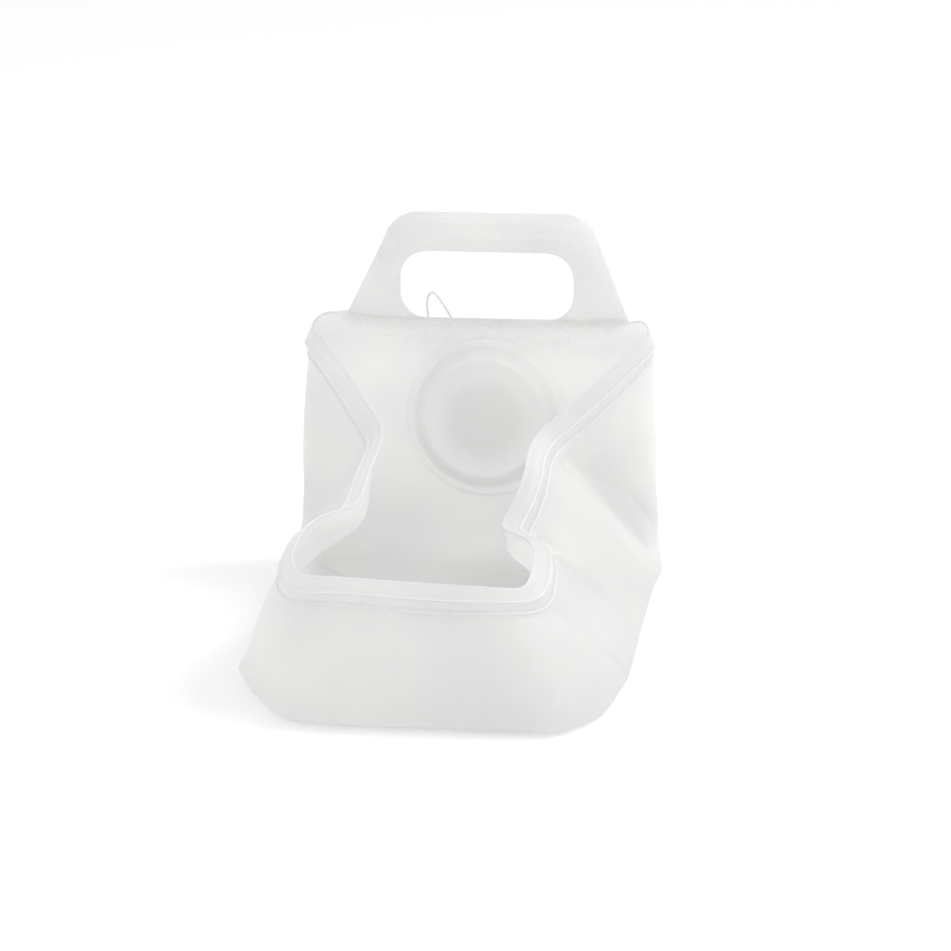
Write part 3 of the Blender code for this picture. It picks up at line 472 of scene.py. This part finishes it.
jug_outer = ring_mesh("jug_outer_skin", outer_rings, ldpe_skin, pebble_out)
print("outer skin faces", len(jug_outer.data.polygons))

# %% [markdown]
# ## The inner skin
# The pushed-in half lies 6 mm inside the rear half. Its offset direction is averaged
# round the loop, because a plain offset would fold through itself in the tight bends.
# On top of the back wall it rises into the pebbled land below the handle.

# %% The inner skin's lines
INNER_SOFT_ROWS = 1.55
out_inner = soften(outward, INNER_SOFT_ROWS * PER_ROW)
steep = -down[:, 2:]
inward_draw = SKIN_GAP * (1 + (down * flat_out).sum(1, keepdims=True)) / steep
inner_foot = outer_foot - flat_out * inward_draw + np.array((0, 0, SKIN_GAP))
# Mm down from the rim and mm outwards, for the lip and for the rise below the handle
LIP = [(-2.5, -1.5), (-2.2, -1.9), (-1.4, -2.1), (0.0, -2.2), (2.0, -2.3), (5.0, -2.4),
       (8.0, -2.6), (12.0, -2.8), (16.0, -3.0), (20.0, -3.2), (24.0, -3.3)]
RISER = [(-6.8, -2.2), (-6.5, -3.1), (-4.5, -3.6), (-1.6, -3.6), (1.0, -3.5), (4.0, -3.4),
         (8.0, -3.4), (12.0, -3.4), (16.0, -3.4), (20.0, -3.4), (24.0, -3.3)]
under_handle = level_row(0.0, 3.3, 0.9)[:, None]
inner_rings = []
for (lip_drop, lip_out), (rise_drop, rise_out) in zip(LIP, RISER):
    drop = lip_drop + (rise_drop - lip_drop) * under_handle
    out = lip_out + (rise_out - lip_out) * under_handle
    inner_rings.append(rim + down * (drop * MM) + out_inner * (out * MM))

# %% The hanging facets
# Below the hoop's tight bends the film hangs straight down instead of following the
# wall, and shows as a bright facet on either side of the hollow. Each hang has its row,
# its reach in rows and its mm across, along and up, and HANG says how much of it there
# is at each distance down in mm
LEFT_HANG = near_row(15.6, 3.4)[:, None] * np.array((13, -1, 0)) * MM
RIGHT_HANG = near_row(35.3, 2.7)[:, None] * np.array((-20, -4, 0)) * MM
HANG = ((0, 0), (6, 0.45), (13, 0.9), (20, 1), (34, 0.85), (60, 0.35), (90, 0))


def hang(mm_down):
    """How far the film of each station hangs into the hollow at a distance down."""
    return (LEFT_HANG + RIGHT_HANG) * float(np.interp(mm_down, *zip(*HANG)))


# %% The inner skin's rings
INNER_WALL_SHARE = 0.86
WALL_START_MM, WALL_RUN_MM = 24, 110
inner_rings = [ring + hang(drop - LIP[0][0]) for ring, (drop, _) in zip(inner_rings, LIP)]
plain_top = inner_rings[-1] - hang(LIP[-1][0] - LIP[0][0])
for step in range(1, WALL_STEPS + 1):
    share = step / WALL_STEPS * INNER_WALL_SHARE
    swell = np.sin(np.pi * share) * bulge
    inner_rings.append(plain_top + (inner_foot - plain_top) * share + outward * swell[:, None]
                       + hang(WALL_START_MM + share * WALL_RUN_MM))
add_face(inner_rings, inner_foot, draw=24 * MM, bend=0.25, height=SKIN_GAP + 1 * MM)

# %% Where the inner skin is pebbled and thick
# The pebbled field below the handle has a straight top and a bowed lower edge. The film
# is thickest where the parison touched the mould last: low on the back wall, and on
# the seat. Each fade starts at a height or a distance back and has a reach
FIELD_DEPTH_MM, FIELD_HALF_WIDTH_MM, FIELD_EDGE_MM = 15.5, 113, 2.5
NO_FIELD_MM = -20
LOW_FROM, LOW_REACH = 95 * MM, 50 * MM
BACK_FROM, BACK_REACH = 90 * MM, 40 * MM
SEAT_FROM, SEAT_REACH = 22 * MM, 15 * MM
BACK_THICK_SHARE, SEAT_THICK_SHARE = 0.8, 0.45
field_depth = FIELD_DEPTH_MM * (1 - np.abs(rim[:, 0] / (FIELD_HALF_WIDTH_MM * MM)) ** 3)
field_depth = np.where(under_handle[:, 0] > 0.02, field_depth, NO_FIELD_MM)
pebble_in, thick_in = [], []
for ring in inner_rings:
    depth = (RIM_HEIGHT - ring[:, 2]) / MM
    in_field = np.clip((field_depth - depth) / FIELD_EDGE_MM, 0, 1)
    pebble_in.append(in_field * under_handle[:, 0])
    low_down = np.clip((LOW_FROM - ring[:, 2]) / LOW_REACH, 0, 1)
    at_back = np.clip((ring[:, 1] - BACK_FROM) / BACK_REACH, 0, 1)
    on_seat = np.clip((SEAT_FROM - ring[:, 2]) / SEAT_REACH, 0, 1)
    thick_in.append(np.maximum(BACK_THICK_SHARE * low_down * at_back, SEAT_THICK_SHARE * on_seat))
jug_inner = ring_mesh("jug_inner_skin", inner_rings, ldpe_skin, pebble_in, thick=thick_in)
jug_inner.data.flip_normals()
print("inner skin faces", len(jug_inner.data.polygons))

# %% [markdown]
# ## Round forms on the back wall
# The boss on the inner skin nests over the neck when the jug is folded. A turned patch
# that follows a smooth profile is cleaner than pushing a square grid into a circle.

# %% The back wall's own frame
NECK_ACROSS = 3.5 * MM
NECK_HEIGHT = 116.5 * MM
BACK_TOP_SHARE, BACK_FOOT_SHARE = STATION_SHARES[0][1], STATION_SHARES[0][4]
PATCH_STEPS = 160
back_top = np.array((NECK_ACROSS, BACK_TOP_SHARE * HALF_LENGTH, RIM_HEIGHT))
back_foot = np.array((NECK_ACROSS, BACK_FOOT_SHARE * HALF_LENGTH, EDGE_RISE))
wall_up = unit(back_top - back_foot)
wall_out = np.array((0, wall_up[2], -wall_up[1]))
neck_at = back_foot + wall_up * (NECK_HEIGHT - EDGE_RISE) / wall_up[2]


def turned_patch(centre, profile):
    """Rings round the wall's outward axis; profile is (radius mm, out mm)."""
    turn = np.arange(PATCH_STEPS) * 2 * np.pi / PATCH_STEPS
    across = np.array((1.0, 0, 0))
    rings = []
    for radius, out in profile:
        ring = centre + wall_out * (out * MM)
        ring = ring + np.outer(np.cos(turn) * radius * MM, across)
        ring = ring + np.outer(np.sin(turn) * radius * MM, wall_up)
        rings.append(ring)
    return rings


def smooth_profile(points, parts=6):
    """More points on a smooth curve through (radius, out) points."""
    spots = np.array([points[0], *points, points[-1]], float)
    made = []
    for index in range(len(points) - 1):
        for part in range(parts):
            made.append(catmull_rom(*spots[index:index + 4], part / parts))
    made.append(spots[-1])
    return made


# %% The boss
# Each pair is a radius and mm outwards. The dish inside THICK_RADIUS_MM is thick
THICK_RADIUS_MM, THICK_FADE_MM = 54, 11
BOSS = [(62.0, -3.2), (59.0, -3.5), (56.8, -4.3), (55.6, -4.6), (54.4, -5.6), (52.6, -7.9),
        (50.4, -10.6), (48.0, -12.8), (46.0, -13.8), (44.2, -13.9), (42.4, -13.4),
        (40.0, -12.8), (36.0, -12.3), (28.0, -11.8), (18.0, -11.5), (8.0, -11.3), (3.0, -11.3)]
boss_line = smooth_profile(BOSS)
boss_thick = [np.full(PATCH_STEPS, np.clip((THICK_RADIUS_MM - radius) / THICK_FADE_MM, 0, 1))
              for radius, _ in boss_line]
boss = ring_mesh("inner_boss", turned_patch(neck_at, boss_line), ldpe_skin, thick=boss_thick)
boss.data.flip_normals()
print("boss faces", len(boss.data.polygons))

# %% Round holes for the boss and the recess
# Each skin's wall is cut away inside a circle, the cut's edge is drawn to a true
# circle, and the turned boss or cup takes its place
LEVEL_REACH = 5 * MM
EDGE_REACH_SHARE = 1.15


def cut_round(obj, centre, radius, skin_level):
    """Delete the wall's faces inside a circle and round off the hole's edge."""
    form = bmesh.new()
    form.from_mesh(obj.data)
    middle, axis = Vector(centre), Vector(wall_out)

    def from_axis(point):
        """The arm from the circle's axis to a point, and the point's level on the axis."""
        arm = point - middle
        level = arm.dot(axis)
        return arm - axis * level, level

    gone = []
    for face in form.faces:
        arm, level = from_axis(face.calc_center_median())
        if arm.length < radius and abs(level - skin_level) < LEVEL_REACH:
            gone.append(face)
    bmesh.ops.delete(form, geom=gone, context="FACES")
    for vertex in form.verts:
        arm, level = from_axis(vertex.co)
        on_edge = vertex.is_boundary and arm.length < radius * EDGE_REACH_SHARE
        if on_edge and abs(level - skin_level) < LEVEL_REACH:
            vertex.co = middle + axis * level + arm * (radius / arm.length)
    form.to_mesh(obj.data)
    form.free()
    return len(gone)


cut_outer = cut_round(jug_outer, neck_at, radius=52 * MM, skin_level=3.2 * MM)
cut_inner = cut_round(jug_inner, neck_at, radius=60.5 * MM, skin_level=-3.3 * MM)
print("faces cut", cut_outer, cut_inner)

# %% The recess for the neck
# Each pair is a radius and mm outwards
RECESS = [(53.6, 3.25), (52.0, 3.3), (51.0, 3.0), (50.3, 2.0), (50.0, 0.5), (49.4, -3.0),
          (48.6, -6.0), (47.4, -7.9), (45.5, -8.8), (43.0, -9.1), (36.0, -9.2), (29.0, -9.2)]
recess = ring_mesh("neck_recess", turned_patch(neck_at, smooth_profile(RECESS, 4)), ldpe_skin,
                   cap=False)
print("recess faces", len(recess.data.polygons))

# %% [markdown]
# ## Join and replace
# The boss and the recess belong to the skins' mouldings, so they are joined to them.
# The two skins meet under the lip and close the flat air space between them.


# %% Joining meshes without an operator
def join_meshes(target, others):
    """Add the others' meshes to the target's, at the same place."""
    form = bmesh.new()
    form.from_mesh(target.data)
    for other in others:
        form.from_mesh(other.data)
        bpy.data.objects.remove(other, do_unlink=True)
    form.to_mesh(target.data)
    form.free()
    target.data.shade_smooth()
    return target


join_meshes(jug_inner, [boss])
join_meshes(jug_outer, [recess])
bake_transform(jug_outer)
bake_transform(jug_inner)
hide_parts("rear_half_shell")
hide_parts("front_half_shell")
print("skins replaced")

# %% [markdown]
# ## The hoop's ridges
# Two fine ridges run all the way round the hoop's land, and a bead closes its lip.
# They follow a path, so Geometry Nodes sweeps a small circle along it.


# %% A sweep made with Geometry Nodes
def sweep_tree(name):
    """Node tree: mesh edges to a curve, swept with a circle of the given radius."""
    tree = bpy.data.node_groups.new(name, "GeometryNodeTree")
    tree.interface.new_socket("Geometry", in_out="INPUT", socket_type="NodeSocketGeometry")
    tree.interface.new_socket("Geometry", in_out="OUTPUT", socket_type="NodeSocketGeometry")
    tree.interface.new_socket("Radius", in_out="INPUT", socket_type="NodeSocketFloat")
    tree.interface.new_socket("Sides", in_out="INPUT", socket_type="NodeSocketInt")
    tree.interface.new_socket("Material", in_out="INPUT", socket_type="NodeSocketMaterial")
    start = add_node(tree, "NodeGroupInput")
    path = add_node(tree, "GeometryNodeMeshToCurve", inputs={"Mesh": start.outputs["Geometry"]})
    circle = add_node(tree, "GeometryNodeCurvePrimitiveCircle", inputs={
        "Resolution": start.outputs["Sides"], "Radius": start.outputs["Radius"]})
    tube = add_node(tree, "GeometryNodeCurveToMesh", inputs={
        "Curve": path.outputs["Curve"], "Profile Curve": circle.outputs["Curve"]})
    real = add_node(tree, "GeometryNodeRealizeInstances", inputs={"Geometry": tube.outputs["Mesh"]})
    done = add_node(tree, "GeometryNodeSetMaterial", inputs={
        "Geometry": real.outputs["Geometry"], "Material": start.outputs["Material"]})
    add_node(tree, "NodeGroupOutput", inputs={"Geometry": done.outputs["Geometry"]})
    return tree


def loop_object(name, points):
    """An object whose mesh is one closed loop of edges through the points."""
    mesh = bpy.data.meshes.new(name)
    count = len(points)
    mesh.from_pydata(points.tolist(), [(i, (i + 1) % count) for i in range(count)], [])
    obj = bpy.data.objects.new(name, mesh)
    bpy.context.scene.collection.objects.link(obj)
    return obj


def run_tree(obj, tree, values):
    """Give the object the tree, set its inputs, and keep the result as a plain mesh."""
    modifier = obj.modifiers.new(tree.name, "NODES")
    modifier.node_group = tree
    for item in tree.interface.items_tree:
        if item.in_out == "INPUT" and item.name in values:
            modifier[item.identifier] = values[item.name]
    graph = bpy.context.evaluated_depsgraph_get()
    mesh = bpy.data.meshes.new_from_object(obj.evaluated_get(graph), depsgraph=graph)
    obj.modifiers.clear()
    obj.data = mesh
    obj.data.shade_smooth()
    return obj


sweep = sweep_tree("sweep_circle")
print("tree", sweep.name, len(sweep.nodes), "nodes")

# %% Sweep the lip and the ridges
# Each bead has its mm down from the rim, its mm outwards, its radius in mm, and how far
# it sinks below the handle, where the inner skin rises past the lip
BEADS = (("hoop_lip", -2.5, -1.2, 0.75, 2.0), ("hoop_ridge_upper", 9.2, 4.3, 1.0, 0),
         ("hoop_ridge_lower", 17.8, 2.7, 0.75, 0))
BEAD_SIDES = 12
SINK_OUT_SHARE = 0.7
behind_riser = level_row(0.0, 3.4, 1.0)[:, None]
ridges = []
for name, drop, out, radius, sink_by in BEADS:
    sink = sink_by * behind_riser
    line = rim + down * ((drop + sink) * MM) + out_soft * ((out + sink * SINK_OUT_SHARE) * MM)
    bead = loop_object(name, line)
    run_tree(bead, sweep, {"Radius": radius * MM, "Sides": BEAD_SIDES, "Material": ldpe_hoop})
    ridges.append(bead)
hoop = join_meshes(ridges[0], ridges[1:])
hoop.name = "hoop_lip_and_ridges"
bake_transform(hoop)
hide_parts("fold_hoop")
print("hoop faces", len(hoop.data.polygons))

# %% [markdown]
# ## The carry handle
# The handle's CAD solid has the right outline, but its edges are crisp. A real
# blow-moulded handle has soft edges. A bevel would have to follow every edge of the
# outline and the slot, so a copy is remeshed finely and smoothed instead.


# %% A copy of a CAD piece
def copy_of_node(node, name):
    """An object at the origin with a copy of a CAD node's mesh, its place in the mesh."""
    bpy.context.view_layer.update()
    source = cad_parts[node]
    obj = bpy.data.objects.new(name, source.data.copy())
    bpy.context.scene.collection.objects.link(obj)
    obj.data.transform(source.matrix_world)
    return obj


# %% A softened copy of the handle
SOFTEN_GRID = 0.9 * MM
SOFTEN_ROUNDS = 12
handle = copy_of_node("handle", "carry_handle")
remesh = handle.modifiers.new("remesh", "REMESH")
remesh.mode = "VOXEL"
remesh.voxel_size = SOFTEN_GRID
smooth = handle.modifiers.new("smooth", "SMOOTH")
smooth.factor = 0.5
smooth.iterations = SOFTEN_ROUNDS
graph = bpy.context.evaluated_depsgraph_get()
handle.data = bpy.data.meshes.new_from_object(handle.evaluated_get(graph), depsgraph=graph)
handle.modifiers.clear()
handle.data.materials.clear()
handle.data.materials.append(ldpe_grip)
handle.data.shade_smooth()
print("handle faces", len(handle.data.polygons))

# %% Where the handle is pebbled
# Its foot is pebbled like the land, and its two shoulders a little. All are in mm
FOOT_TOP_MM, FOOT_FADE_MM = 196, 5
SHOULDER_OUT_MM, SHOULDER_UP_MM, SHOULDER_MIDDLE_MM = 76, 240, 5
SHOULDER_WIDE_MM, SHOULDER_HIGH_MM = 14, 16
FOOT_SHARE, SHOULDER_SHARE = 0.9, 0.45
points = np.empty(len(handle.data.vertices) * 3, np.float32)
handle.data.vertices.foreach_get("co", points)
points = points.reshape(-1, 3) / MM
foot_part = np.clip((FOOT_TOP_MM - points[:, 2]) / FOOT_FADE_MM, 0, 1) * FOOT_SHARE
sideways = (np.abs(points[:, 0] - SHOULDER_MIDDLE_MM) - SHOULDER_OUT_MM) / SHOULDER_WIDE_MM
upwards = (points[:, 2] - SHOULDER_UP_MM) / SHOULDER_HIGH_MM
shoulder_part = np.exp(-sideways ** 2 - upwards ** 2) * SHOULDER_SHARE
stones = handle.data.attributes.new("pebble", "FLOAT", "POINT")
stones.data.foreach_set("value", np.maximum(foot_part, shoulder_part).astype(np.float32))
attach(handle, "back_panel")
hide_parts("handle")
print("pebbled points of the handle", int((foot_part > 0).sum()))

# %% [markdown]
# ## Cap, tap and tether
# The cap, the tap and the tether's rings stay as the CAD made them, because their real
# shapes are turned and moulded forms that the solids already have. They get their own
# plastics: white polyethylene, acetal, nylon, polypropylene and grey rubber.

# %% Plain moulded plastics
MOULDED_IOR = 1.5
ROUGHNESS_SWING = 0.05


def moulded(name, colour, roughness, passing=0.0, grain_mm=0.8, depth_mm=0.01):
    """An injection-moulded plastic or rubber with a faint spark-eroded grain."""
    material = bpy.data.materials.new(name)
    material.use_nodes = True
    tree = material.node_tree
    tree.nodes.clear()
    place = add_node(tree, "ShaderNodeTexCoord").outputs["Object"]
    grain = add_node(tree, "ShaderNodeTexNoise", inputs={
        "Vector": place, "Scale": 1 / (grain_mm * MM), "Detail": 3.0})
    height = add_node(tree, "ShaderNodeMath", {"operation": "MULTIPLY"}, {
        0: grain.outputs["Fac"], 1: depth_mm * MM})
    bump = add_node(tree, "ShaderNodeBump", inputs={
        "Strength": 1.0, "Distance": 1.0, "Height": height.outputs[0]})
    rough = add_node(tree, "ShaderNodeMapRange", inputs={
        "Value": grain.outputs["Fac"],
        "To Min": roughness - ROUGHNESS_SWING, "To Max": roughness + ROUGHNESS_SWING})
    shader = add_node(tree, "ShaderNodeBsdfPrincipled", inputs={
        "Base Color": linear(colour), "Roughness": rough.outputs[0],
        "Normal": bump.outputs[0], "IOR": MOULDED_IOR})
    passed = add_node(tree, "ShaderNodeBsdfTranslucent", inputs={
        "Color": linear(colour), "Normal": bump.outputs[0]})
    both = add_node(tree, "ShaderNodeMixShader", inputs={
        0: passing, 1: shader.outputs[0], 2: passed.outputs[0]})
    add_node(tree, "ShaderNodeOutputMaterial", inputs={"Surface": both.outputs[0]})
    return material


finishes = {
    "neck_finish": moulded("ldpe_moulded_neck", "#F6F6F5", 0.35, 0.5),
    "screw_cap": moulded("hdpe_moulded_cap", "#F6F6F5", 0.42, 0.4),
    "cap_gasket": moulded("epdm_gasket", "#5A5A5C", 0.65),
    "spigot_body": moulded("hdpe_moulded_spigot", "#F4F4F2", 0.40, 0.3),
    "spigot_washer": moulded("epdm_washer", "#58585A", 0.65),
    "spigot_nut": moulded("nylon_moulded_nut", "#E8E8E4", 0.45),
    "tap_plug": moulded("acetal_turned_plug", "#F0F0EE", 0.30),
    "tap_lever": moulded("polypropylene_moulded_lever", "#ECECEA", 0.40),
    "plug_seal_upper": moulded("nitrile_seal_upper", "#3A3A3C", 0.6),
    "plug_seal_lower": moulded("nitrile_seal_lower", "#3A3A3C", 0.6),
    "tether_neck_ring": moulded("ldpe_moulded_neck_ring", "#F2F2F2", 0.38, 0.5),
    "tether_cap_ring": moulded("ldpe_moulded_cap_ring", "#F2F2F2", 0.38, 0.5),
    "tether_strap": moulded("ldpe_moulded_strap", "#F4F4F4", 0.38, 0.5),
}
for node, material in finishes.items():
    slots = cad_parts[node].data.materials
    slots.clear()
    slots.append(material)
print("finishes", len(finishes))

# %% [markdown]
# ## The tether's strap
# The strap's near leg ends at the cap's ring, so it has to follow the cap when that is
# unscrewed. A copy of the strap, with its doubled points merged, takes the CAD strap's
# place.

# %% A copy of the strap
strap = copy_of_node("tether_strap", "tether_loop")
loose = bmesh.new()
loose.from_mesh(strap.data)
bmesh.ops.remove_doubles(loose, verts=loose.verts, dist=0.01 * MM)
loose.to_mesh(strap.data)
loose.free()
strap.data.shade_smooth()
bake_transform(strap)
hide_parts("tether_strap")
print("strap faces", len(strap.data.polygons))

# %% [markdown]
# ## Floor, light and camera
# The object was photographed on a white sweep with a large soft light from the right.
# The world and the lamp light it at a plain level. The white round it comes from the
# rays that only look, so that it is not bought with more light on the pale film.


# %% Rays that only look
def looking_rays(tree):
    """1 on camera, glossy and transmission rays, and 0 on the rays that light things."""
    rays = add_node(tree, "ShaderNodeLightPath")
    direct = add_node(tree, "ShaderNodeMath", {"operation": "MAXIMUM"}, {
        0: rays.outputs["Is Camera Ray"], 1: rays.outputs["Is Glossy Ray"]})
    any_view = add_node(tree, "ShaderNodeMath", {"operation": "MAXIMUM"}, {
        0: direct.outputs[0], 1: rays.outputs["Is Transmission Ray"]})
    return any_view.outputs[0]


# %% Floor
FLOOR_REACH = 6.0
FLOOR_LEVEL = -0.4 * MM
FLOOR_LIFT = 0.13
floor_mesh = bpy.data.meshes.new("studio_floor")
floor_corners = [(x * FLOOR_REACH, y * FLOOR_REACH, FLOOR_LEVEL)
                 for x, y in ((-1, -1), (1, -1), (1, 1), (-1, 1))]
floor_mesh.from_pydata(floor_corners, [], [(0, 1, 2, 3)])
floor = bpy.data.objects.new("studio_floor", floor_mesh)
bpy.context.scene.collection.objects.link(floor)
paper = bpy.data.materials.new("white_paper_sweep")
paper.use_nodes = True
tree = paper.node_tree
tree.nodes.clear()
sheet = add_node(tree, "ShaderNodeBsdfDiffuse", inputs={"Color": linear("#FAFAFA")})
lift = add_node(tree, "ShaderNodeMath", {"operation": "MULTIPLY"}, {
    0: looking_rays(tree), 1: FLOOR_LIFT})
lifted = add_node(tree, "ShaderNodeEmission", inputs={
    "Color": linear("#FFFFFF"), "Strength": lift.outputs[0]})
whole = add_node(tree, "ShaderNodeAddShader", inputs={0: sheet.outputs[0], 1: lifted.outputs[0]})
add_node(tree, "ShaderNodeOutputMaterial", inputs={"Surface": whole.outputs[0]})
floor_mesh.materials.append(paper)
print("floor", FLOOR_REACH * 2, "m wide")

# %% World and lamps
WORLD_STRENGTH = 0.85
world = bpy.data.worlds.new("white_studio")
bpy.context.scene.world = world
world.use_nodes = True
tree = world.node_tree
tree.nodes.clear()
soft = add_node(tree, "ShaderNodeBackground", inputs={
    "Color": linear("#FFFFFF"), "Strength": WORLD_STRENGTH})
seen = add_node(tree, "ShaderNodeBackground", inputs={
    "Color": linear("#FFFFFF"), "Strength": 1.0})
pick = add_node(tree, "ShaderNodeMixShader", inputs={
    0: looking_rays(tree), 1: soft.outputs[0], 2: seen.outputs[0]})
add_node(tree, "ShaderNodeOutputWorld", inputs={"Surface": pick.outputs[0]})


def softbox(name, place, aim, size, power):
    """A square area lamp of a size in metres, turned towards a point; power in watts."""
    lamp = bpy.data.lights.new(name, "AREA")
    lamp.shape = "SQUARE"
    lamp.size = size
    lamp.energy = power
    obj = bpy.data.objects.new(name, lamp)
    obj.location = place
    obj.rotation_euler = (Vector(aim) - Vector(place)).to_track_quat("-Z", "Y").to_euler()
    bpy.context.scene.collection.objects.link(obj)
    return obj


softbox("softbox_right", place=(1.35, 0.6, 1.7), aim=(0, 0, 0.1), size=0.8, power=13)
print("lamps", len(bpy.data.lights))

# %% Camera
# It stands where the hoop's corners, the handle and the foot fall on the photo's
AZIMUTH, ELEVATION, ROLL = math.radians(8.4), math.radians(20.0), math.radians(-1.0)
TARGET = Vector((0, 0.019, 0.110))
DISTANCE = 2.2
SENSOR_MM, LENS_MM = 36, 115.27
SHIFT_RIGHT, SHIFT_UP = 0.0221, 0.0163
forward = Vector((-math.sin(AZIMUTH) * math.cos(ELEVATION),
                  math.cos(AZIMUTH) * math.cos(ELEVATION), -math.sin(ELEVATION)))
side = Vector((math.cos(AZIMUTH), math.sin(AZIMUTH), 0))
above = side.cross(forward)
right = side * math.cos(ROLL) + above * math.sin(ROLL)
upward = above * math.cos(ROLL) - side * math.sin(ROLL)
camera_data = bpy.data.cameras.new("photo_camera")
camera = bpy.data.objects.new("photo_camera", camera_data)
bpy.context.scene.collection.objects.link(camera)
place = TARGET - forward * DISTANCE
camera.matrix_world = Matrix((right, upward, -forward)).transposed().to_4x4()
camera.location = place
camera_data.sensor_width = SENSOR_MM
camera_data.lens = LENS_MM
camera_data.shift_x = SHIFT_RIGHT
camera_data.shift_y = SHIFT_UP
bpy.context.scene.camera = camera
bpy.context.scene.view_settings.view_transform = "Standard"
print("camera at", [round(v, 3) for v in place])
